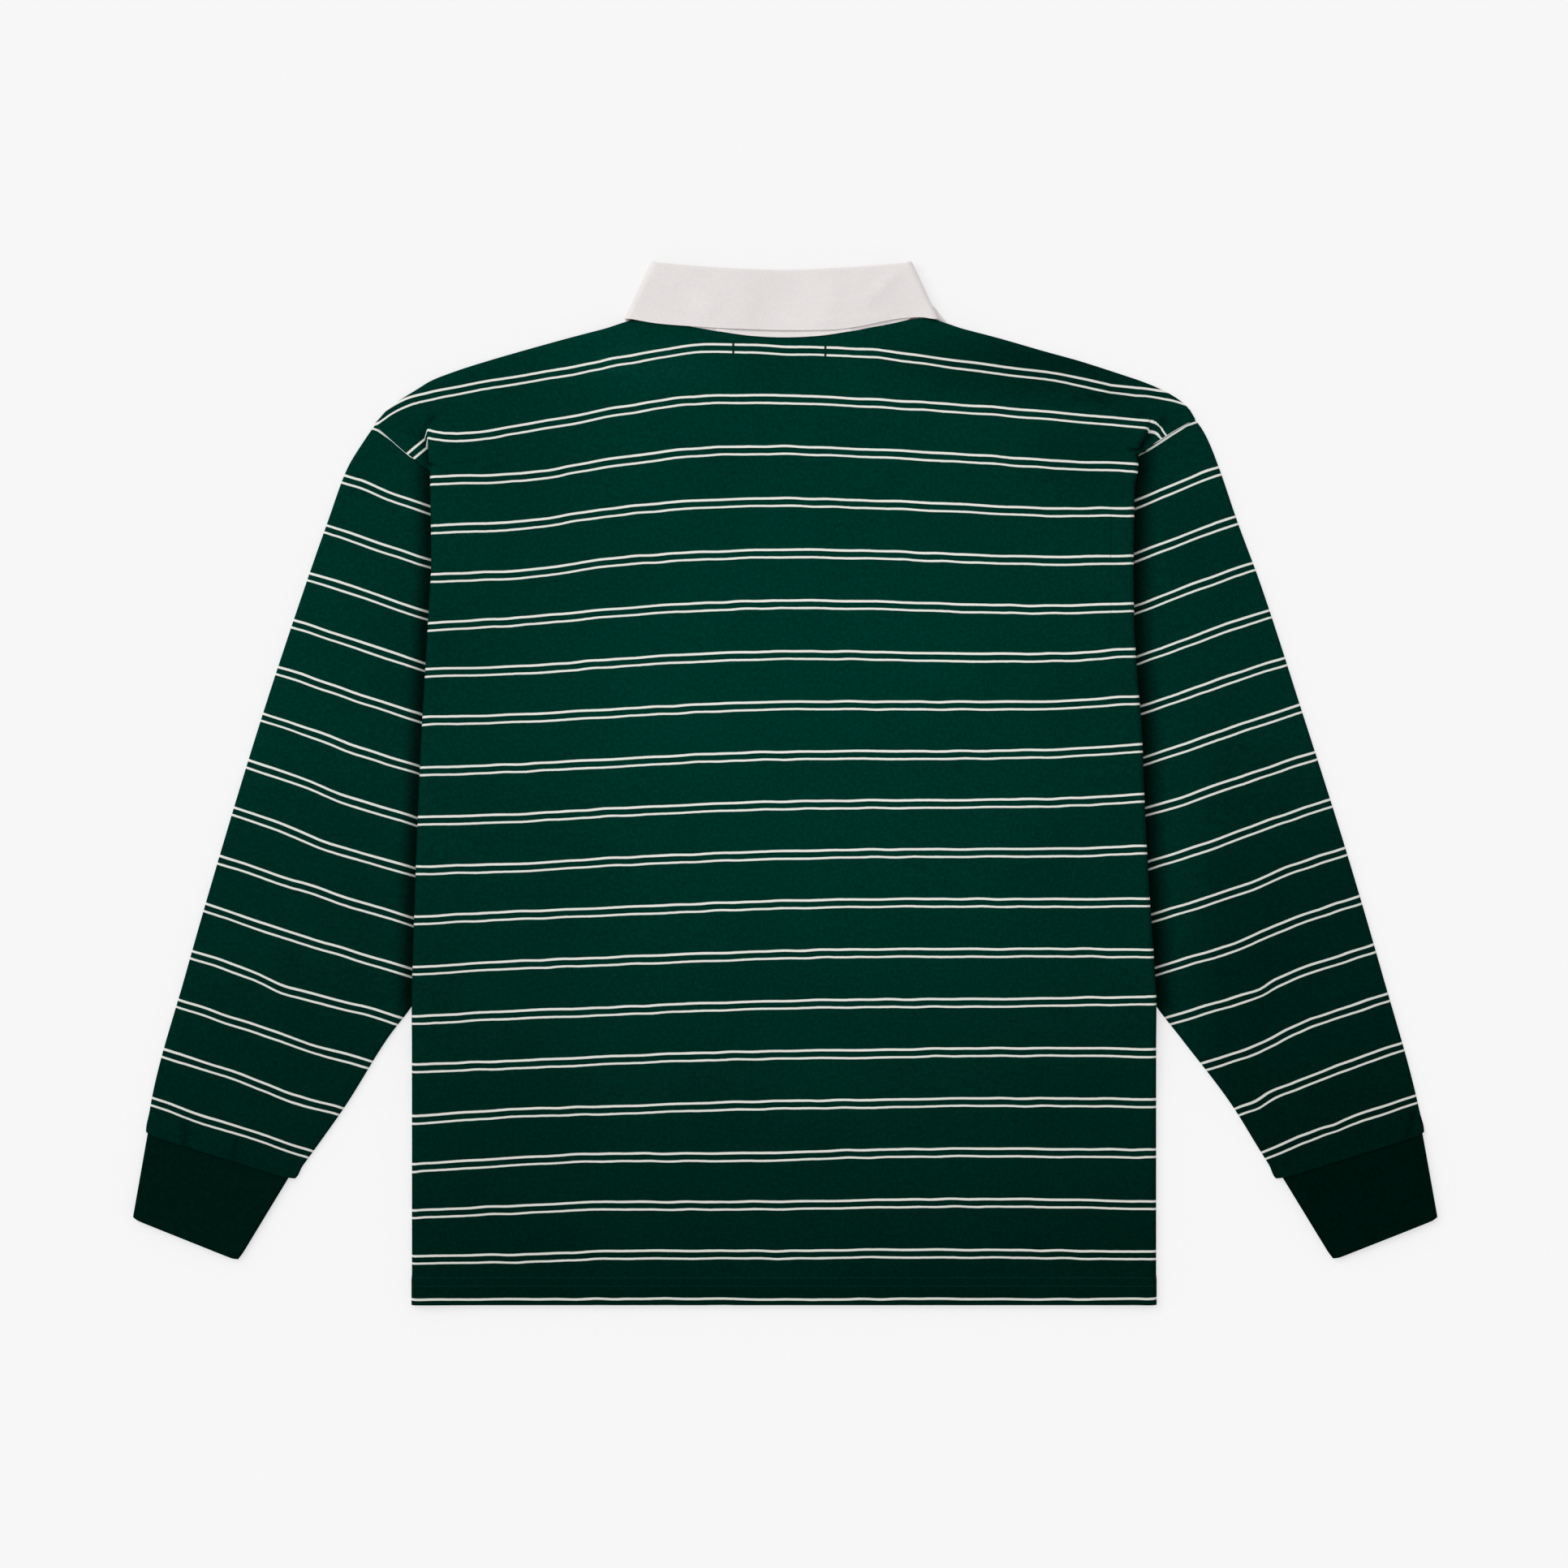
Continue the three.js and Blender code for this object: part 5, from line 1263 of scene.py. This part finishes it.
def collar_stations():
    share = np.linspace(-1, 1, 97)
    s = np.abs(share)
    neck_y = back_top(BODY_CENTRE + share * NECK_SEAM_SIDE[0]) + SEAM
    back_fold = np.stack([share * FOLD_SIDE[0], mix(FOLD_CENTRE_Y, FOLD_SIDE[1], s ** 1.6)], -1)
    free_edge = table_line(column(FREE_EDGE, 0), column(FREE_EDGE, 1))
    back_edge = np.stack([share * EDGE_SIDE[0], free_edge(share * EDGE_SIDE[0] + BODY_CENTRE)], -1)
    back_neck = np.stack([share * NECK_SEAM_SIDE[0],
                          mix(neck_y, NECK_SEAM_SIDE[1], smooth(0.85, 1, s))], -1)
    up = np.tile([0.0, 0.0, 1.0], (len(share), 1))
    slant = np.array(EDGE_SIDE) - np.array(FOLD_SIDE)
    slant /= np.linalg.norm(slant)
    angle = np.radians(np.linspace(15, 165, 11))
    outward = np.array([-slant[1], slant[0], 0])
    wrap_out = outward * np.sin(angle)[:, None] + np.array([0, 0, 1]) * np.cos(angle)[:, None]
    wrap = [np.tile(p, (len(angle), 1)) for p in (FOLD_SIDE, EDGE_SIDE, NECK_SEAM_SIDE)]
    front = np.linspace(0, 1, 31)
    neck_x = np.interp(front, [0, 0.14, 0.3, 0.46, 0.62, 0.78, 0.9, 1], [110, 104, 97, 86, 70, 52, 34, 6])
    front_neck_y = np.where(front == 0, NECK_SEAM_SIDE[1], front_neck(neck_x) + 0.5)
    neck_edge = np.stack([neck_x, front_neck_y], -1)
    fronts = [plan_line(FRONT_FOLD)(front), plan_line(FRONT_EDGE)(front), neck_edge]
    down = np.tile([0.0, 0.0, -1.0], (len(front), 1))
    halves = []
    for peek in PEEKS:
        bow = np.exp(-(((front - peek[0]) / 0.035) ** 2))[:, None] * np.array(peek[1:])
        lines = [fronts[0], fronts[1] + bow, fronts[2], down]
        halves.append([np.concatenate([w, f]) for w, f in zip(wrap + [wrap_out], lines)])
    turned = [r * ([-1, 1] if r.shape[1] == 2 else [-1, 1, 1]) for r in halves[0]]
    right = halves[1]
    back = [back_fold, back_edge, back_neck, up]
    ring = [np.concatenate([t[::-1], b, r]) for t, b, r in zip(turned, back, right)]
    for plan in ring[:3]:
        plan[:, 0] += BODY_CENTRE
    high = smooth(300, 345, ring[0][:, 1])
    ring[0][:, 0] -= 1.9 * high
    ring[1][:, 0] -= high * (0.9 + 2.2 * smooth(70, 114, -ring[1][:, 0]))
    return ring


fold, edge, neck, out = collar_stations()
walk = np.concatenate([[0], np.cumsum(np.linalg.norm(np.diff(edge, axis=0), axis=1))])
print("collar stations:", len(fold), "free edge %.0f mm long" % walk[-1])


def collar_point(towards, distance, reach, share=0.0):
    """Places from the fold towards a plan line, and out from the middle of the neck."""
    aside = out * [1, 1 - share, 1]
    aside = aside / np.linalg.norm(aside, axis=1, keepdims=True)
    run = towards - fold
    run = run / np.linalg.norm(run, axis=1, keepdims=True)
    distance = np.broadcast_to(distance, (len(fold),))
    reach = np.broadcast_to(reach, (len(fold),))
    plan = fold + run * distance[:, None]
    base = np.concatenate([plan, np.full((len(fold), 1), NECK_MIDDLE)], 1)
    return base + aside * reach[:, None]


# %% Make the fall
# Soft folds on the collar: from x, y to x, y, half width, height
COLLAR_FOLDS = [
    (84.1, 389.6, 64.9, 369.4, 5, 0.9), (-80, 385, -58, 362, 7, 0.7),
    (-20, 388, -32, 358, 9, 0.45), (40, 386, 34, 360, 8, 0.4), (20, 352, 76, 356, 2.5, 0.35),
]


def fall_relief(points, share):
    x, y = points[:, 0], points[:, 1]
    lift = fold_height(COLLAR_FOLDS, x, y) + rest_waves(x * 1.6, y * 1.6, 0.22)
    return points + out * (lift * smooth(0, 0.25, share) * np.clip(out[:, 2], 0, 1))[:, None]


def collar_fall():
    length = np.linalg.norm(edge - fold, axis=1)
    lines, from_edge = [], []
    for distance in (LIP, 3.7, 2.8, 1.9):
        lines.append(collar_point(neck, distance, STAND_REACH))
        from_edge.append(length + distance)
    for angle in np.radians(np.linspace(-90, 90, 11)):
        distance = FOLD_ROLL * (1 - math.cos(angle))
        reach = STAND_REACH + FOLD_ROLL * (1 + math.sin(angle))
        lines.append(collar_point(edge, distance, reach))
        from_edge.append(length - distance)
    for share in np.linspace(0, 1, 21)[1:]:
        reach = mix(FALL_REACH, FALL_EDGE_REACH, share)
        distance = mix(FOLD_ROLL, length, share)
        lines.append(fall_relief(collar_point(edge, distance, reach, share), share))
        from_edge.append(length - distance)
    weave = np.stack([np.stack(from_edge, 1), np.repeat(walk[:, None], len(lines), 1)], -1)
    return np.stack(lines, 1), weave


fall_grid, fall_weave = collar_fall()
fall = cloth_wall("collar_fall_drill", fall_grid, DRILL, {"weave": fall_weave}, drill_finish)


# %% Make the stand
def collar_stand():
    length = np.linalg.norm(neck - fold, axis=1)
    lines, from_edge = [], []
    lap = NECK_LAP * smooth(62, 10, np.abs(neck[:, 0] - BODY_CENTRE)) * (out[:, 2] > 0.99)
    for share in [*np.linspace(0, 0.9, 12), 0.94, 0.97, 1.0]:
        distance = mix(LIP + SEAM + 0.4, length + lap, share)
        raised = 1.3 * (lap > 0.1) * smooth(-3.2, -0.6, distance - length)
        lines.append(collar_point(neck, distance, STAND_REACH + raised))
        from_edge.append(EDGE_STITCH - 0.8 + length + lap - distance)
    weave = np.stack([np.stack(from_edge, 1), np.repeat(walk[:, None], len(lines), 1)], -1)
    return np.stack(lines, 1), weave


stand_grid, stand_weave = collar_stand()
stand = cloth_wall("collar_stand_drill", stand_grid, DRILL, {"weave": stand_weave}, drill_finish)

# %% [markdown]
# ## Placket
# Two strips of drill close the front opening from inside and outside. They lie under everything,
# so they are plain flat strips.

# %% Make the placket strips
def placket_strip(name, width, top, bottom, height):
    x = BODY_CENTRE + np.linspace(-0.5, 0.5, 9) * width
    y = np.linspace(top, bottom, 34)
    grid = np.stack(np.broadcast_arrays(x[None], y[:, None], np.array(float(height))), -1).copy()
    weave = np.stack([np.broadcast_to(np.minimum(x - x[0], x[-1] - x)[None] + 4, grid.shape[:2]),
                      np.broadcast_to(y[:, None], grid.shape[:2])], -1)
    return cloth_wall(name, grid, JERSEY, {"weave": weave}, drill_finish)


placket_outer = placket_strip("placket_outer_drill", PLACKET_WIDTH, PLACKET_TOP, PLACKET_BOTTOM, FLOOR_LAYER)
placket_inner = placket_strip("placket_inner_drill", OPENING_WIDTH - 2 * SEAM, PLACKET_TOP - 1,
                              slit_bottom + SEAM, FLOOR_LAYER + JERSEY + SEAM)

# %% [markdown]
# ## Bar stitches
# A neck label is sewn inside, and two short rows of its green thread come through to the back.
# Each one is a little rope of thread: a row of slanted turns, made as one bent tube per turn.

# %% Finish: green thread
thread_finish, tree, shader = new_finish("green_thread", 0.6, 0.1)
close = use_group(tree, mottle_group, Where=own_place(tree), Size=900.0, Low=0.7, High=1.3)["Shade"]
feed(tree, shader.inputs["Base Color"], blend_colours(tree, 1.0, (0.001, 0.018, 0.012, 1), close, "MULTIPLY"))

# %% Make the bar stitches
BAR_STITCHES = [(BAR_PLACES[0], 336.5, 326.0), (BAR_PLACES[1], 333.4, 322.9)]


def thread_turns(name, centres, along, half, radius):
    """Short slanted threads, one at each centre, as small tapered tubes."""
    points, faces = [], []
    around = np.linspace(0, 2 * math.pi, 6, endpoint=False)
    for centre in centres:
        base = len(points)
        for t, thick in ((-1, 0.35), (-0.5, 1.0), (0.5, 1.0), (1, 0.35)):
            middle = centre + along * half * t
            for a in around:
                ring = np.array([-along[1], along[0], 0]) * math.cos(a) + np.array([0, 0, 1]) * math.sin(a)
                points.append(middle + ring * radius * thick + np.array([0, 0, -0.25 * t * t]))
        for i in range(3):
            for j in range(6):
                k = (j + 1) % 6
                faces.append([base + i * 6 + j, base + i * 6 + k, base + i * 6 + 6 + k, base + i * 6 + 6 + j])
        faces.append([base + j for j in range(6)][::-1])
        faces.append([base + 18 + j for j in range(6)])
    mesh = bpy.data.meshes.new(name)
    mesh.from_pydata((np.array(points) / 1000).tolist(), [], faces)
    mesh.shade_smooth()
    piece = bpy.data.objects.new(name, mesh)
    bpy.context.scene.collection.objects.link(piece)
    print(name, "turns:", len(centres))
    return piece


bars = []
for k, (x, top, bottom) in enumerate(BAR_STITCHES):
    levels = np.arange(bottom, top, 1.1)
    heights = back_height(np.full(len(levels), x), levels) + JERSEY / 2 + 0.15
    centres = [np.array([x, y, z]) for y, z in zip(levels, heights)]
    bar = thread_turns("bar_stitch_%d" % (k + 1), centres, np.array([0.94, 0.34, 0]), 0.65, 0.42)
    bar.data.materials.append(thread_finish)
    bars.append(bar)

# %% [markdown]
# ## Put the pieces in the frame
# Each piece stands for its solid and rides on the only body.

# %% Ride and replace
pieces = {
    "back_panel": (back_panel, "striped_jersey"), "front_panel": (front_panel, "striped_jersey"),
    "sleeve_left": (sleeves["left"], "striped_jersey"), "sleeve_right": (sleeves["right"], "striped_jersey"),
    "cuff_left": (cuffs["left"], "cuff_rib"), "cuff_right": (cuffs["right"], "cuff_rib"),
    "collar_fall": (fall, "collar_drill"), "collar_stand": (stand, "collar_drill"),
    "placket_outer": (placket_outer, "collar_drill"), "placket_inner": (placket_inner, "collar_drill"),
}
for node, (piece, slot) in pieces.items():
    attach(piece, "root")
    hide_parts(node)
for bar in bars:
    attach(bar, "root")
print("pieces:", len(pieces), "and", len(bars), "bar stitches")

# %% [markdown]
# ## Floor and light
# A plain surface lit from below, as on a light table, so that the shirt throws hardly any shadow on
# it, and soft light: an even sky for the fill, and one broad sun from the upper left, low enough to
# show the creases and to leave a soft shade beside the raised edges.

# %% Floor
floor_mesh = bpy.data.meshes.new("floor")
reach = 4.0
floor_mesh.from_pydata([(-reach, -reach, -0.0004), (reach, -reach, -0.0004),
                        (reach, reach, -0.0004), (-reach, reach, -0.0004)], [], [(0, 1, 2, 3)])
floor = bpy.data.objects.new("floor", floor_mesh)
bpy.context.scene.collection.objects.link(floor)
floor_finish, tree, shader = new_finish("pale_floor", 1.0, 0.0)
speck = use_group(tree, mottle_group, Where=own_place(tree), Size=3.0, Low=0.998, High=1.002)["Shade"]
feed(tree, shader.inputs["Base Color"], blend_colours(tree, 1.0, (0.40, 0.40, 0.40, 1), speck, "MULTIPLY"))
shader.inputs["Emission Color"].default_value = (1, 1, 1, 1)
shader.inputs["Emission Strength"].default_value = 0.53
floor_mesh.materials.append(floor_finish)

# %% Light
SKY = 0.69
SUN_SHARE = 0.31
SUN_TILT = math.radians(42)
SUN_FROM = math.radians(145)
world = bpy.data.worlds.new("soft_sky")
world.use_nodes = True
world.node_tree.nodes["Background"].inputs["Color"].default_value = (1, 1, 1, 1)
world.node_tree.nodes["Background"].inputs["Strength"].default_value = SKY
bpy.context.scene.world = world
sun_data = bpy.data.lights.new("broad_sun", "SUN")
sun_data.energy = SUN_SHARE * math.pi / math.cos(SUN_TILT)
sun_data.angle = math.radians(50)
sun = bpy.data.objects.new("broad_sun", sun_data)
sun.rotation_euler = (0, SUN_TILT, SUN_FROM)
bpy.context.scene.collection.objects.link(sun)
bpy.context.scene.view_settings.view_transform = "Standard"
print("sun %.2f, sky %.2f" % (sun_data.energy, SKY))
